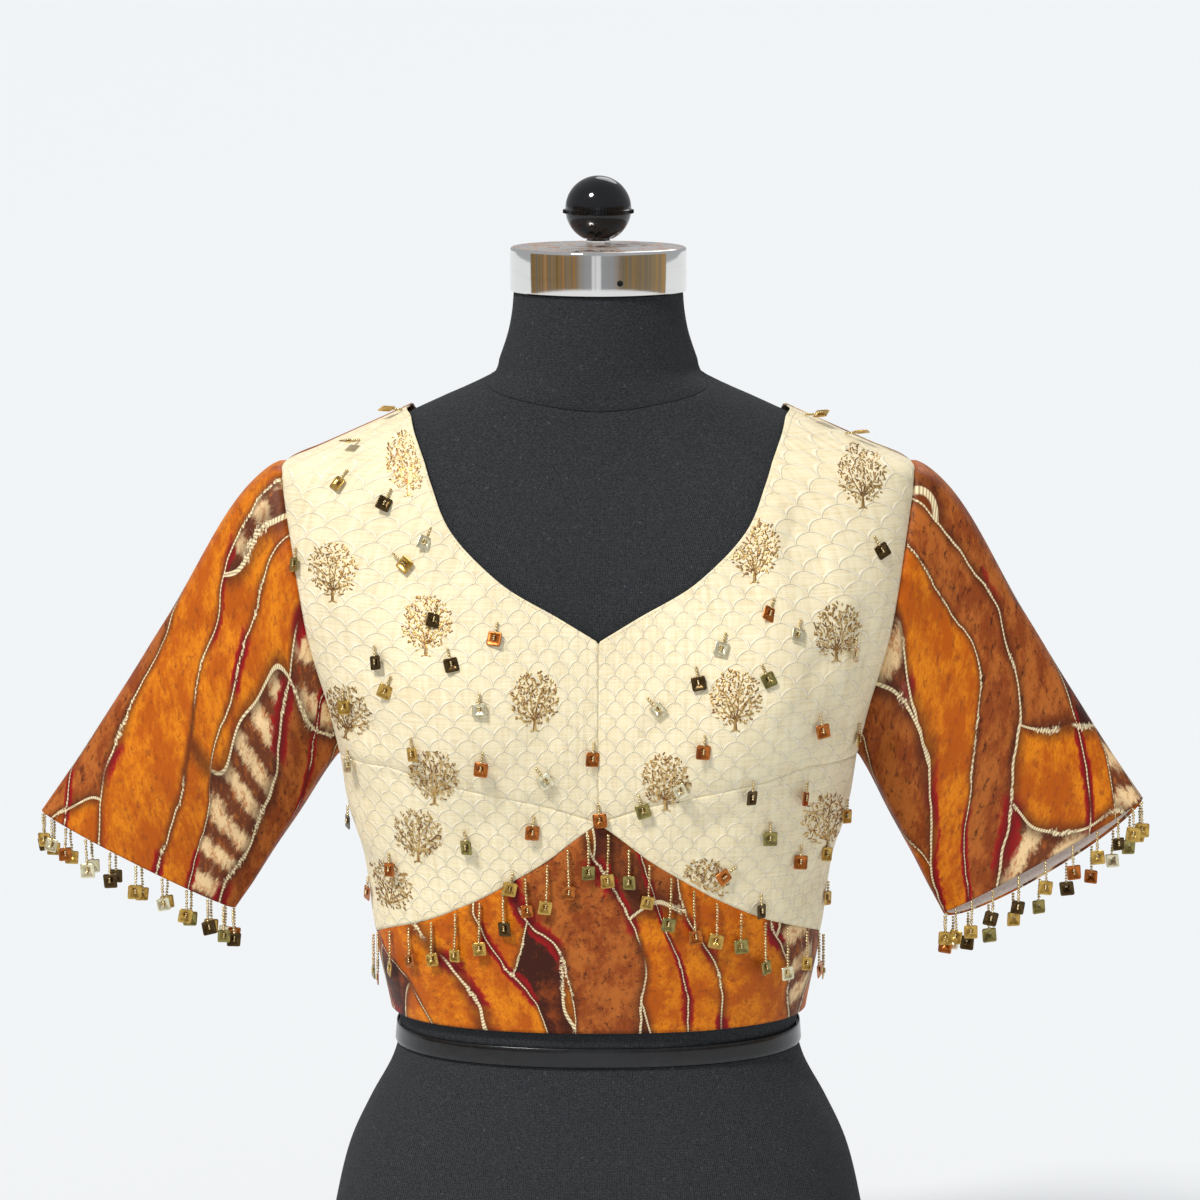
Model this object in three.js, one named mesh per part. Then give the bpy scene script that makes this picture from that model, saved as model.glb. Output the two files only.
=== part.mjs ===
// A choli blouse on a limbless dress form, in millimetres.
// +Z is up, the front faces -Y and +X is the wearer's left. The origin is the middle of the form's flat base.
// Everything on the body is placed by an angle round it and a height: 0 is the +X side, a quarter turn the
// middle of the front, half a turn the -X side and minus a quarter turn the middle of the back.
import * as THREE from "three";

// ---------------------------------------------------------------- driving sizes
const HEM_HEIGHT = 277;
const UNDERARM_HEIGHT = 434;
const SHOULDER_TIP_HEIGHT = 608.8;
const NECK_POINT_HEIGHT = 642.4;
const PEAK_HEIGHT = 407; // where the centre seam, both cups and the band meet
const BAND_SIDE_HEIGHT = 320; // the band's top edge at the side seam
const FRONT_V_HEIGHT = 514.7;
const BACK_NECK_HEIGHT = 532;

const CLOTH_THICKNESS = 1.5;
const CLOTH_CLEARANCE = 2; // from the form to the cloth
const CLOTH_OUTSIDE = CLOTH_CLEARANCE + CLOTH_THICKNESS;
const SEAM_GAP = 0.3;
const FORM_DRAW_IN = 0.8; // the form's own faces lie just under the skin that the cloth is measured from
const STUMP = { from: 148, to: 178, drawIn: 2.6 }; // and lower still on its arm stumps, beyond this width
const QUARTER = Math.PI / 2;

const BUST = { x: 88, z: 466, rise: 19, spreadX: 40, spreadUp: 47, spreadDown: 38 };

const SLEEVE_STAND = 4.6; // middle of the sleeve's wall at the armhole, from the form
const CAP_RISE = 11; // roundness of the sleeve's top edge
const CAP_PLACE = 0.2; // share of the sleeve's length where it is roundest
const LINING_THICKNESS = 1;
const LINING_GAP = 0.6;
const LINING_START = 0.8; // share of the sleeve's length where the facing begins
const LINING_END = 0.992;

const FRINGE_THICKNESS = 2;
const FRINGE_GAP = 0.8; // from the band to its fringe
const BAND_FRINGE_REACH = 34;
const CUFF_FRINGE_REACH = 24;

const RIBBON = { bottom: 254.7, top: 267, inside: 0.3, outside: 1.5 };
const NECK_TOP = 714.4;
const CAP = { bottom: 715, top: 741.7, radius: 53.4, edge: 1.6 };
const NUT = { bottom: 742, top: 746.2, radius: 7.5 };
const KNOB = { middle: 764.4, radius: 20, ringHalf: 1.6, ringRise: 1, ringDrop: 1.5 };

// Sections of the form. half: half its width; front, back: its depth from the middle; power: 2 is an
// ellipse and more is squarer.
const SECTIONS = table(["z", "half", "front", "back", "power"], [
  [0, 167, 108, 118, 2.3],
  [60, 172, 110, 124, 2.3],
  [110, 170, 108, 122, 2.3],
  [158, 162, 103, 114, 2.3],
  [189, 154, 99, 106, 2.3],
  [216, 141.5, 94, 95, 2.3],
  [241, 128, 90, 84, 2.3],
  [261, 123, 88, 79, 2.3],
  [277, 124.5, 88.5, 79, 2.3],
  [318, 133, 92, 84, 2.3],
  [370, 140, 96, 92, 2.35],
  [403, 150, 99, 98, 2.4],
  [434, 155, 102, 103, 2.45],
  [460, 162.5, 103, 106, 2.5],
  [490, 174, 102, 108, 2.6],
  [515, 183, 100, 108, 2.7],
  [540, 188, 96, 107, 2.8],
  [565, 190, 90, 104, 2.8],
  [590, 191, 81, 98, 2.75],
  [600, 190.8, 76, 95, 2.7],
  [608.8, 188.6, 71.5, 91.5, 2.65],
  [617, 170, 67, 88, 2.6],
  [626, 150, 63, 83.5, 2.5],
  [634.5, 131, 60, 79.5, 2.45],
  [642.4, 113.6, 57.5, 75.5, 2.4],
  [651, 95, 56, 71.5, 2.3],
  [658.3, 78.5, 55.5, 68.5, 2.2],
  [666, 64, 55.2, 65.5, 2.1],
  [675, 60.5, 55, 62, 2],
  [690, 55.5, 54, 57, 2],
  [703, 53, 52.8, 53.5, 2],
  [714.4, 52, 52, 52, 2],
]);

// Seams as seen from the front: distance from the middle, and height.
const BAND_SEAM = table(["x", "z"], [[0, 407], [14, 396.5], [30, 383.8], [51, 370], [74, 356], [104, 341]]);
const BUST_SEAM = table(["x", "z"], [[0, 407], [18, 413], [37, 419], [69, 426], [99, 432.5], [126, 438]]);
const ARMHOLE = table(["x", "z"], [
  [155.9, 440], [158.6, 452.8], [163.2, 474], [169.3, 496.5], [173.7, 515.6], [177.7, 538], [181.5, 562],
  [185.8, 588], [187.4, 600], [188.2, 606],
]);
const FRONT_NECK = table(["x", "z"], [
  [24, 529], [52, 544.5], [71, 560], [87, 577.5], [96, 596], [101.5, 611], [107, 626],
  [110.4, 635.5], [112.4, 640.3],
]);
const BACK_NECK = table(["x", "z"], [
  [30, 535], [58, 547], [80, 568], [95, 594], [104.5, 617], [109, 631], [111.8, 638.4], [112.8, 641],
]);

// The cuffs: the corner away from the body, the corner near it, half the opening's depth in front and
// behind, and how much lower the back edge hangs.
const CUFFS = {
  left: { outerX: 333.5, outerZ: 403, innerX: 213, innerZ: 333, front: 17, back: 21, backDrop: 11 },
  right: { outerX: 341, outerZ: 395.5, innerX: 224, innerZ: 335.5, front: 17, back: 19, backDrop: 6 },
};

// Columns and rows of the cloth's grids.
const FRONT_COLUMNS = 14;
const FRONT_ROWS = { toV: 6, neck: 9 };
const CUP_ROWS = 5;
const BAND_ROWS = 5;
const BAND_FRINGE_ROWS = 3;
const BACK_COLUMNS = 11;
const BACK_ROWS = { side: 5, armhole: 12, belowNeck: 8, neck: 9 };
const SLEEVE_ROWS = 8;
const LINING_ROWS = 2;
const FORM_COLUMNS = 36;

// ---------------------------------------------------------------- tables and curves
function table(names, rows) {
  return rows.map((row) => Object.fromEntries(names.map((name, i) => [name, row[i]])));
}

function mix(a, b, t) {
  return a + (b - a) * t;
}

// A smooth curve through values at rising knots, with slopes taken from the neighbours.
function smoothAt(knots, values, at) {
  const last = knots.length - 1;
  const t = Math.min(Math.max(at, knots[0]), knots[last]);
  let i = 0;
  while (i < last - 1 && t > knots[i + 1]) i += 1;
  const step = knots[i + 1] - knots[i];
  const slope = (k) => {
    const a = Math.max(k - 1, 0);
    const b = Math.min(k + 1, last);
    return (values[b] - values[a]) / (knots[b] - knots[a]);
  };
  const s = (t - knots[i]) / step;
  const rise = s * s * (3 - 2 * s);
  return mix(values[i], values[i + 1], rise)
    + slope(i) * step * s * (1 - s) * (1 - s)
    - slope(i + 1) * step * s * s * (1 - s);
}

const SECTION_HEIGHTS = SECTIONS.map((row) => row.z);
const sectionColumns = Object.fromEntries(
  ["half", "front", "back", "power"].map((name) => [name, SECTIONS.map((row) => row[name])]),
);

function section(name, z) {
  return smoothAt(SECTION_HEIGHTS, sectionColumns[name], z);
}

// ---------------------------------------------------------------- the body's skin
function bustRise(x, z) {
  const across = (Math.abs(x) - BUST.x) / BUST.spreadX;
  const up = (z - BUST.z) / (z > BUST.z ? BUST.spreadUp : BUST.spreadDown);
  return BUST.rise * Math.exp(-(across * across + up * up) / 2);
}

function skinPoint(angle, z) {
  const isFront = Math.sin(angle) > 0;
  const power = section("power", z);
  const across = Math.abs(Math.cos(angle)) / section("half", z);
  const through = Math.abs(Math.sin(angle)) / section(isFront ? "front" : "back", z);
  const radius = (across ** power + through ** power) ** (-1 / power);
  const x = radius * Math.cos(angle);
  const towardsFront = Math.min(Math.max(Math.sin(angle) / 0.45, 0), 1);
  const rise = bustRise(x, z) * towardsFront * towardsFront * (3 - 2 * towardsFront);
  return new THREE.Vector3(x, -radius * Math.sin(angle) - rise, z);
}

function skinNormal(angle, z) {
  const step = 0.004;
  const drop = 0.5;
  const along = skinPoint(angle + step, z).sub(skinPoint(angle - step, z));
  const up = skinPoint(angle, z + drop).sub(skinPoint(angle, z - drop));
  return up.cross(along).normalize();
}

function onSkin({ angle, z }, offset) {
  return skinPoint(angle, z).addScaledVector(skinNormal(angle, z), offset);
}

// The angle at which the skin is x away from the middle, on the front (side 1) or the back (side -1).
function angleAt(x, z, side) {
  const half = section("half", z);
  const power = section("power", z);
  const share = Math.max(1 - (x / half) ** power, 0);
  const y = section(side > 0 ? "front" : "back", z) * share ** (1 / power);
  return side * Math.atan2(y, x);
}

// A track is a smooth curve over the skin, read by its share of length.
const ANGLE_REACH = 130;

function track(points) {
  const knots = [0];
  for (let i = 1; i < points.length; i += 1) {
    const across = (points[i].angle - points[i - 1].angle) * ANGLE_REACH;
    knots.push(knots[i - 1] + Math.hypot(across, points[i].z - points[i - 1].z));
  }
  const angles = points.map((point) => point.angle);
  const heights = points.map((point) => point.z);
  return (share) => {
    const at = share * knots[knots.length - 1];
    return { angle: smoothAt(knots, angles, at), z: smoothAt(knots, heights, at) };
  };
}

function seen(rows, side) {
  return rows.map(({ x, z }) => ({ angle: angleAt(x, z, side), z }));
}

function straight(from, to) {
  return (share) => ({ angle: mix(from.angle, to.angle, share), z: mix(from.z, to.z, share) });
}

// Two tracks one after the other; the first takes the given share.
function joined(first, second, share) {
  return (t) => (t <= share ? first(t / share) : second((t - share) / (1 - share)));
}

const underarm = { angle: 0, z: UNDERARM_HEIGHT };
const shoulderTip = { angle: 0, z: SHOULDER_TIP_HEIGHT };
const neckPoint = { angle: 0, z: NECK_POINT_HEIGHT };
const sideHem = { angle: 0, z: HEM_HEIGHT };
const bandSide = { angle: 0, z: BAND_SIDE_HEIGHT };
const peak = { angle: QUARTER, z: PEAK_HEIGHT };
const frontV = { angle: QUARTER, z: FRONT_V_HEIGHT };
const backNeck = { angle: -QUARTER, z: BACK_NECK_HEIGHT };
const backHem = { angle: -QUARTER, z: HEM_HEIGHT };

const bandSeam = track([...seen(BAND_SEAM, 1), bandSide]);
const bustSeam = track([...seen(BUST_SEAM, 1), underarm]);
const frontArmhole = track([underarm, ...seen(ARMHOLE, 1), shoulderTip]);
const backArmhole = track([underarm, ...seen(ARMHOLE, -1), shoulderTip]);
const frontNeckline = track([frontV, ...seen(FRONT_NECK, 1), neckPoint]);
const backNeckline = track([backNeck, ...seen(BACK_NECK, -1), neckPoint]);

// ---------------------------------------------------------------- walls
function range(count) {
  return Array.from({ length: count + 1 }, (_, i) => i / count);
}

// Fills four tracks: bottom and top run from the inner to the outer edge, inner and outer run upwards.
function patch({ bottom, top, inner, outer }, columns, rows) {
  const corners = [bottom(0), bottom(1), top(0), top(1)];
  return range(rows).map((v) => range(columns).map((u) => {
    const spot = {};
    for (const key of ["angle", "z"]) {
      const sides = mix(inner(v)[key], outer(v)[key], u);
      const ends = mix(bottom(u)[key], top(u)[key], v);
      const [a, b, c, d] = corners.map((corner) => corner[key]);
      spot[key] = sides + ends - mix(mix(a, b, u), mix(c, d, u), v);
    }
    return spot;
  }));
}

// Draws the four edges of a grid of points in, to leave half a seam gap on each.
function drawIn(points, amount) {
  const rows = points.length;
  const columns = points[0].length;
  const pull = (point, towards) => towards.clone().sub(point).setLength(amount);
  const moves = [];
  for (let j = 0; j < columns; j += 1) {
    moves.push([points[0][j], pull(points[0][j], points[1][j])]);
    moves.push([points[rows - 1][j], pull(points[rows - 1][j], points[rows - 2][j])]);
  }
  for (let i = 0; i < rows; i += 1) {
    moves.push([points[i][0], pull(points[i][0], points[i][1])]);
    moves.push([points[i][columns - 1], pull(points[i][columns - 1], points[i][columns - 2])]);
  }
  for (const [point, move] of moves) point.add(move);
}

// A closed wall between an outer and an inner grid of points. A ring's rows close on themselves.
function wall(outer, inner, isRing = false) {
  const rows = outer.length;
  const columns = outer[0].length;
  const positions = [...outer.flat(), ...inner.flat()].flatMap((point) => point.toArray());
  const out = (i, j) => i * columns + (j % columns);
  const into = (i, j) => rows * columns + out(i, j);
  const faces = [];
  const quad = (a, b, c, d) => faces.push(a, b, c, a, c, d);
  const cells = isRing ? columns : columns - 1;
  for (let i = 0; i < rows - 1; i += 1) {
    for (let j = 0; j < cells; j += 1) {
      quad(out(i, j), out(i, j + 1), out(i + 1, j + 1), out(i + 1, j));
      quad(into(i, j), into(i + 1, j), into(i + 1, j + 1), into(i, j + 1));
    }
  }
  for (let j = 0; j < cells; j += 1) {
    quad(out(0, j + 1), out(0, j), into(0, j), into(0, j + 1));
    quad(out(rows - 1, j), out(rows - 1, j + 1), into(rows - 1, j + 1), into(rows - 1, j));
  }
  for (let i = 0; i < rows - 1 && !isRing; i += 1) {
    quad(out(i, 0), out(i + 1, 0), into(i + 1, 0), into(i, 0));
    quad(out(i + 1, cells), out(i, cells), into(i, cells), into(i + 1, cells));
  }
  return solid(positions, faces);
}

function signedVolume(positions, faces) {
  const corner = (i) => new THREE.Vector3().fromArray(positions, faces[i] * 3);
  let total = 0;
  for (let i = 0; i < faces.length; i += 3) {
    total += corner(i).dot(corner(i + 1).cross(corner(i + 2)));
  }
  return total / 6;
}

// Makes a mesh's geometry, turning its faces round where they point in.
function solid(positions, faces) {
  const isInsideOut = signedVolume(positions, faces) < 0;
  const geometry = new THREE.BufferGeometry();
  geometry.setAttribute("position", new THREE.Float32BufferAttribute(positions, 3));
  geometry.setIndex(isInsideOut ? [...faces].reverse() : faces);
  geometry.computeVertexNormals();
  return geometry;
}

function mirrored(points) {
  return points.map((row) => row.map((point) => new THREE.Vector3(-point.x, point.y, point.z)));
}

// A panel over the skin: both faces are drawn in along its edges and moved out from the same spots.
function panel(spots, isRight, insideOffset, outsideOffset) {
  const layers = [outsideOffset, insideOffset].map((offset) => {
    const points = spots.map((row) => row.map((spot) => onSkin(spot, offset)));
    drawIn(points, SEAM_GAP / 2);
    return isRight ? mirrored(points) : points;
  });
  return wall(layers[0], layers[1]);
}

function clothPanel(spots, isRight) {
  return panel(spots, isRight, CLOTH_CLEARANCE, CLOTH_OUTSIDE);
}

// ---------------------------------------------------------------- the blouse's pieces
function frontUpperSpots() {
  const rows = FRONT_ROWS.toV + FRONT_ROWS.neck;
  return patch({
    bottom: bustSeam,
    top: straight(neckPoint, shoulderTip),
    inner: joined(straight(peak, frontV), frontNeckline, FRONT_ROWS.toV / rows),
    outer: frontArmhole,
  }, FRONT_COLUMNS, rows);
}

// The cup narrows to the peak, where it stops one column short of a point.
function cupSpots() {
  const shares = range(FRONT_COLUMNS).slice(1);
  shares.unshift(shares[0] / 3);
  return range(CUP_ROWS).map((v) => shares.map((u) => {
    const low = bandSeam(u);
    const high = bustSeam(u);
    return { angle: mix(low.angle, high.angle, v), z: mix(low.z, high.z, v) };
  }));
}

// From one side seam over the front to the other.
function bandColumns() {
  const half = range(FRONT_COLUMNS).map((u) => bandSeam(u));
  const other = half.slice(1).map(({ angle, z }) => ({ angle: Math.PI - angle, z }));
  return [...half.reverse(), ...other];
}

function bandSpots() {
  return range(BAND_ROWS).map((v) => bandColumns().map(({ angle, z }) => ({ angle, z: mix(HEM_HEIGHT, z, v) })));
}

function bandFringeSpots() {
  return range(BAND_FRINGE_ROWS).map((v) => (
    bandColumns().map(({ angle, z }) => ({ angle, z: z - BAND_FRINGE_REACH * (1 - v) }))
  ));
}

function backSpots() {
  const rows = BACK_ROWS.side + BACK_ROWS.armhole;
  return patch({
    bottom: straight(backHem, sideHem),
    top: straight(neckPoint, shoulderTip),
    inner: joined(straight(backHem, backNeck), backNeckline, BACK_ROWS.belowNeck / rows),
    outer: joined(straight(sideHem, underarm), backArmhole, BACK_ROWS.side / rows),
  }, BACK_COLUMNS, rows);
}

// The armhole's seam as a ring of spots: down the front from the shoulder, and up the back.
function armholeRing() {
  const frontRows = FRONT_ROWS.toV + FRONT_ROWS.neck;
  const front = range(frontRows).slice(1).map((v) => ({ share: v, spot: frontArmhole(v), turn: -1 }));
  const back = range(BACK_ROWS.armhole).slice(0, -1).map((v) => ({ share: v, spot: backArmhole(v), turn: 1 }));
  return [...front.reverse(), ...back];
}

// A point of the sleeve: share 0 is the armhole and 1 the cuff. The wall is moved out along its own normal.
function sleevePoint(cuff, { share, spot, turn }, along) {
  const start = onSkin(spot, SLEEVE_STAND);
  const up = Math.cos(Math.PI * (1 - share));
  const side = Math.sin(Math.PI * (1 - share)) * turn;
  const end = new THREE.Vector3(
    mix(cuff.innerX, cuff.outerX, (1 + up) / 2),
    side * (turn < 0 ? cuff.front : cuff.back),
    mix(cuff.innerZ, cuff.outerZ, (1 + up) / 2) - Math.max(side, 0) * cuff.backDrop,
  );
  const axis = new THREE.Vector3(cuff.outerX - start.x, 0, cuff.outerZ - start.z).normalize();
  const bulge = CAP_RISE * (along / CAP_PLACE) * Math.exp(1 - along / CAP_PLACE) * (1 - along);
  const lift = Math.max(up, 0) * bulge;
  return start.lerp(end, along).add(new THREE.Vector3(-axis.z, 0, axis.x).multiplyScalar(lift));
}

function sleeveNormal(cuff, ring, j, along) {
  const step = 0.01;
  const before = ring[(j + ring.length - 1) % ring.length];
  const after = ring[(j + 1) % ring.length];
  const round = sleevePoint(cuff, after, along).sub(sleevePoint(cuff, before, along));
  const down = sleevePoint(cuff, ring[j], Math.min(along + step, 1))
    .sub(sleevePoint(cuff, ring[j], Math.max(along - step, 0)));
  return round.cross(down).normalize();
}

function sleeveWall(cuff, shares, outsideOffset, insideOffset, isRight) {
  const ring = armholeRing();
  const layers = [outsideOffset, insideOffset].map((offset) => {
    const points = shares.map((along) => ring.map((place, j) => {
      const normal = sleeveNormal(cuff, ring, j, along);
      return sleevePoint(cuff, place, along).addScaledVector(normal, offset);
    }));
    return isRight ? mirrored(points) : points;
  });
  return wall(layers[0], layers[1], true);
}

function sleeve(cuff, isRight) {
  return sleeveWall(cuff, range(SLEEVE_ROWS), CLOTH_THICKNESS / 2, -CLOTH_THICKNESS / 2, isRight);
}

function sleeveLining(cuff, isRight) {
  const outside = -CLOTH_THICKNESS / 2 - LINING_GAP;
  const shares = range(LINING_ROWS).map((t) => mix(LINING_START, LINING_END, t));
  return sleeveWall(cuff, shares, outside, outside - LINING_THICKNESS, isRight);
}

// The cuff's fringe hangs straight down from the cuff's edge, all the way round.
function cuffFringe(cuff, isRight) {
  const ring = armholeRing();
  const drops = [CLOTH_THICKNESS + SEAM_GAP, CUFF_FRINGE_REACH];
  const layers = [1, -1].map((side) => {
    const points = drops.map((drop) => ring.map((place, j) => {
      const normal = sleeveNormal(cuff, ring, j, 1).setZ(0).normalize();
      const point = sleevePoint(cuff, place, 1).addScaledVector(normal, side * FRINGE_THICKNESS / 2);
      return point.setZ(point.z - drop);
    }));
    return isRight ? mirrored(points) : points;
  });
  return wall(layers[0], layers[1], true);
}

// ---------------------------------------------------------------- the dress form
// The seam between the cover's torso and its neck dips in front.
function neckSeamHeight(angle) {
  const s = Math.sin(angle);
  return 666 - 12 * s - 7 * s * s;
}

// A closed body of rings from bottom to top, capped by fans.
function capped(rings) {
  const columns = rings[0].length;
  const middle = (ring) => ring.reduce((sum, p) => sum.add(p), new THREE.Vector3()).divideScalar(columns);
  const positions = [...rings.flat(), middle(rings[0]), middle(rings[rings.length - 1])]
    .flatMap((point) => point.toArray());
  const bottom = rings.length * columns;
  const faces = [];
  for (let j = 0; j < columns; j += 1) {
    const next = (j + 1) % columns;
    for (let i = 0; i < rings.length - 1; i += 1) {
      const [a, b, c, d] = [i * columns + j, i * columns + next, (i + 1) * columns + next, (i + 1) * columns + j];
      faces.push(a, b, c, a, c, d);
    }
    faces.push(bottom, next, j);
    faces.push(bottom + 1, (rings.length - 1) * columns + j, (rings.length - 1) * columns + next);
  }
  return solid(positions, faces);
}

function formAngles() {
  return range(FORM_COLUMNS).slice(0, -1).map((share) => share * 2 * Math.PI);
}

const TORSO_ROWS = [
  0, 60, 110, 158, 189, 205, 222, 241, 254, 266, 277, 298, 318, 344, 370, 387, 403, 419, 434, 452, 470, 488, 506,
  524, 544, 566, 586, 598, 608, 617, 626, 635,
];

function formPoint(angle, z) {
  const width = Math.abs(skinPoint(angle, z).x);
  const stump = THREE.MathUtils.smoothstep(width, STUMP.from, STUMP.to) * (z > UNDERARM_HEIGHT ? 1 : 0);
  const point = onSkin({ angle, z }, -FORM_DRAW_IN - stump * STUMP.drawIn);
  return z > 0 && z < NECK_TOP ? point : point.setZ(z);
}

function formTorso() {
  const last = TORSO_ROWS[TORSO_ROWS.length - 1];
  const rings = TORSO_ROWS.map((z) => formAngles().map((angle) => formPoint(angle, z)));
  for (const share of [0.5, 1]) {
    rings.push(formAngles().map((angle) => formPoint(angle, mix(last, neckSeamHeight(angle), share))));
  }
  return capped(rings);
}

function formNeck() {
  return capped(range(5).map((share) => formAngles().map((angle) => (
    formPoint(angle, mix(neckSeamHeight(angle) + SEAM_GAP, NECK_TOP, share))
  ))));
}

function waistRibbon() {
  const layers = [RIBBON.outside, RIBBON.inside].map((offset) => [RIBBON.bottom, RIBBON.top].map((z) => (
    formAngles().map((angle) => onSkin({ angle, z }, offset))
  )));
  return wall(layers[0], layers[1], true);
}

// A turned piece from its outline of radius and height, listed upwards from the axis to the axis.
function turned(outline, segments) {
  return new THREE.LatheGeometry(outline.map(([r, z]) => new THREE.Vector2(r, z)), segments).rotateX(QUARTER);
}

function neckCap() {
  const { bottom, top, radius, edge } = CAP;
  return turned([
    [0, bottom], [radius - edge / 2, bottom], [radius, bottom + edge / 2], [radius, top - edge],
    [radius - edge * 0.3, top - edge * 0.3], [radius - edge, top], [0, top],
  ], 40);
}

function capNut() {
  return turned([[0, NUT.bottom], [NUT.radius, NUT.bottom], [NUT.radius * 0.93, NUT.top], [0, NUT.top]], 24);
}

function ballKnob() {
  const { middle, radius, ringHalf, ringRise, ringDrop } = KNOB;
  const seat = Math.asin((NUT.top + SEAM_GAP - middle) / radius);
  const belt = middle - ringDrop;
  const arc = (from, to, steps) => range(steps).map((t) => {
    const angle = mix(from, to, t);
    return [radius * Math.cos(angle), middle + radius * Math.sin(angle)];
  });
  const low = Math.asin((belt - ringHalf - middle) / radius);
  const high = Math.asin((belt + ringHalf - middle) / radius);
  const outline = [
    [0, NUT.top + SEAM_GAP],
    ...arc(seat, low, 5),
    [radius + ringRise, belt - ringHalf], [radius + ringRise, belt + ringHalf],
    ...arc(high, QUARTER, 7),
  ];
  outline[outline.length - 1][0] = 0;
  return turned(outline, 28);
}

// ---------------------------------------------------------------- materials and the object
const materials = {
  cream: { color: 0xeadfc2, roughness: 0.8, metalness: 0 },
  print: { color: 0xa4561b, roughness: 0.6, metalness: 0 },
  lining: { color: 0xc9b5ad, roughness: 0.75, metalness: 0 },
  fringe: { color: 0xa98f4e, roughness: 0.4, metalness: 0.8 },
  jersey: { color: 0x26272b, roughness: 0.9, metalness: 0 },
  ribbon: { color: 0x0c0c0d, roughness: 0.3, metalness: 0 },
  chrome: { color: 0xd5d3cf, roughness: 0.15, metalness: 1 },
  gloss: { color: 0x0a0a0b, roughness: 0.12, metalness: 0 },
};

const group = new THREE.Group();

function add(name, geometry, finish) {
  const mesh = new THREE.Mesh(geometry, new THREE.MeshStandardMaterial(materials[finish]));
  mesh.name = name;
  group.add(mesh);
}

for (const side of ["left", "right"]) {
  const isRight = side === "right";
  add(`front_upper_${side}`, clothPanel(frontUpperSpots(), isRight), "cream");
  add(`front_cup_${side}`, clothPanel(cupSpots(), isRight), "cream");
  add(`back_${side}`, clothPanel(backSpots(), isRight), "print");
  add(`sleeve_${side}`, sleeve(CUFFS[side], isRight), "print");
  add(`sleeve_lining_${side}`, sleeveLining(CUFFS[side], isRight), "lining");
  add(`cuff_fringe_${side}`, cuffFringe(CUFFS[side], isRight), "fringe");
}
add("front_band", clothPanel(bandSpots(), false), "print");
const fringeInside = CLOTH_OUTSIDE + FRINGE_GAP;
add("band_fringe", panel(bandFringeSpots(), false, fringeInside, fringeInside + FRINGE_THICKNESS), "fringe");
add("form_torso", formTorso(), "jersey");
add("form_neck", formNeck(), "jersey");
add("form_waist_ribbon", waistRibbon(), "ribbon");
add("form_neck_cap", neckCap(), "chrome");
add("form_cap_nut", capNut(), "chrome");
add("form_ball_knob", ballKnob(), "gloss");

export default group;
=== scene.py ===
"""A choli blouse on a limbless dress form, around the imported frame. Lengths are in millimetres until a mesh
is made, where MM turns them into metres. The front faces -Y and +X is the wearer's left."""
import math
import random

import bpy
import numpy as np
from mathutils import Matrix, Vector


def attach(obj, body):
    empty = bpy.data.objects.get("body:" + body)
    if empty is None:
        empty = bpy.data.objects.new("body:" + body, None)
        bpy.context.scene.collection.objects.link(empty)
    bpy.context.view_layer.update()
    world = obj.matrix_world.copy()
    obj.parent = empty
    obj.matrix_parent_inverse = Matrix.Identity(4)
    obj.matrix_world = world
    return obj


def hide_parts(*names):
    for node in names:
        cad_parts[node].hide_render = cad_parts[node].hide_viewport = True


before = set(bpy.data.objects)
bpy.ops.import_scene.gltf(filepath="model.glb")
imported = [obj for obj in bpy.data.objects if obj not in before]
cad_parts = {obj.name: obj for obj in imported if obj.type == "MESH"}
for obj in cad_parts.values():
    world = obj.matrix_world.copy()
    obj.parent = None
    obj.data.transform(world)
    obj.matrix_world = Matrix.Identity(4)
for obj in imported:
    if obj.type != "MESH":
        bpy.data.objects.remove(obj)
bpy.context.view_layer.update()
MM = 0.001
QUARTER = math.pi / 2
rng = random.Random(11)

# ---------------- the construction's sizes, as in the frame
HEM, UNDERARM, SHOULDER_TIP, NECK_POINT = 277, 434, 608.8, 642.4
PEAK, BAND_SIDE, FRONT_V, BACK_NECK_LOW = 407, 320, 514.7, 532
NECK_TOP = 714.4
CLOTH_OUT = 3.5
SLEEVE_STAND = 4.6
CAP_RISE, CAP_PLACE = 11, 0.2
BUST = {"x": 88, "z": 466, "rise": 19, "across": 40, "up": 47, "down": 38}
BUST_FADE = 0.45  # the sine of the angle by which the bust is at its full rise
ANGLE_REACH = 130
SEAM_BACK = -0.06  # the shoulder seam lies just behind the ridge, as an angle

# height, half width, depth in front, depth behind, squareness
WIDE, FRONT, BACK, SQUARE = 1, 2, 3, 4
SECTIONS = np.array([
    [0, 167, 108, 118, 2.3], [60, 172, 110, 124, 2.3], [110, 170, 108, 122, 2.3], [158, 162, 103, 114, 2.3],
    [189, 154, 99, 106, 2.3], [216, 141.5, 94, 95, 2.3], [241, 128, 90, 84, 2.3], [261, 123, 88, 79, 2.3],
    [277, 124.5, 88.5, 79, 2.3], [318, 133, 92, 84, 2.3], [370, 140, 96, 92, 2.35], [403, 150, 99, 98, 2.4],
    [434, 155, 102, 103, 2.45], [460, 162.5, 103, 106, 2.5], [490, 174, 102, 108, 2.6],
    [515, 183, 100, 108, 2.7], [540, 188, 96, 107, 2.8], [565, 190, 90, 104, 2.8], [590, 191, 81, 98, 2.75],
    [600, 190.8, 76, 95, 2.7], [608.8, 188.6, 71.5, 91.5, 2.65], [617, 170, 67, 88, 2.6],
    [626, 150, 63, 83.5, 2.5], [634.5, 131, 60, 79.5, 2.45], [642.4, 113.6, 57.5, 75.5, 2.4],
    [651, 95, 56, 71.5, 2.3], [658.3, 78.5, 55.5, 68.5, 2.2], [666, 64, 55.2, 65.5, 2.1],
    [675, 60.5, 55, 62, 2], [690, 55.5, 54, 57, 2], [703, 53, 52.8, 53.5, 2], [714.4, 52, 52, 52, 2],
])
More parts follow.
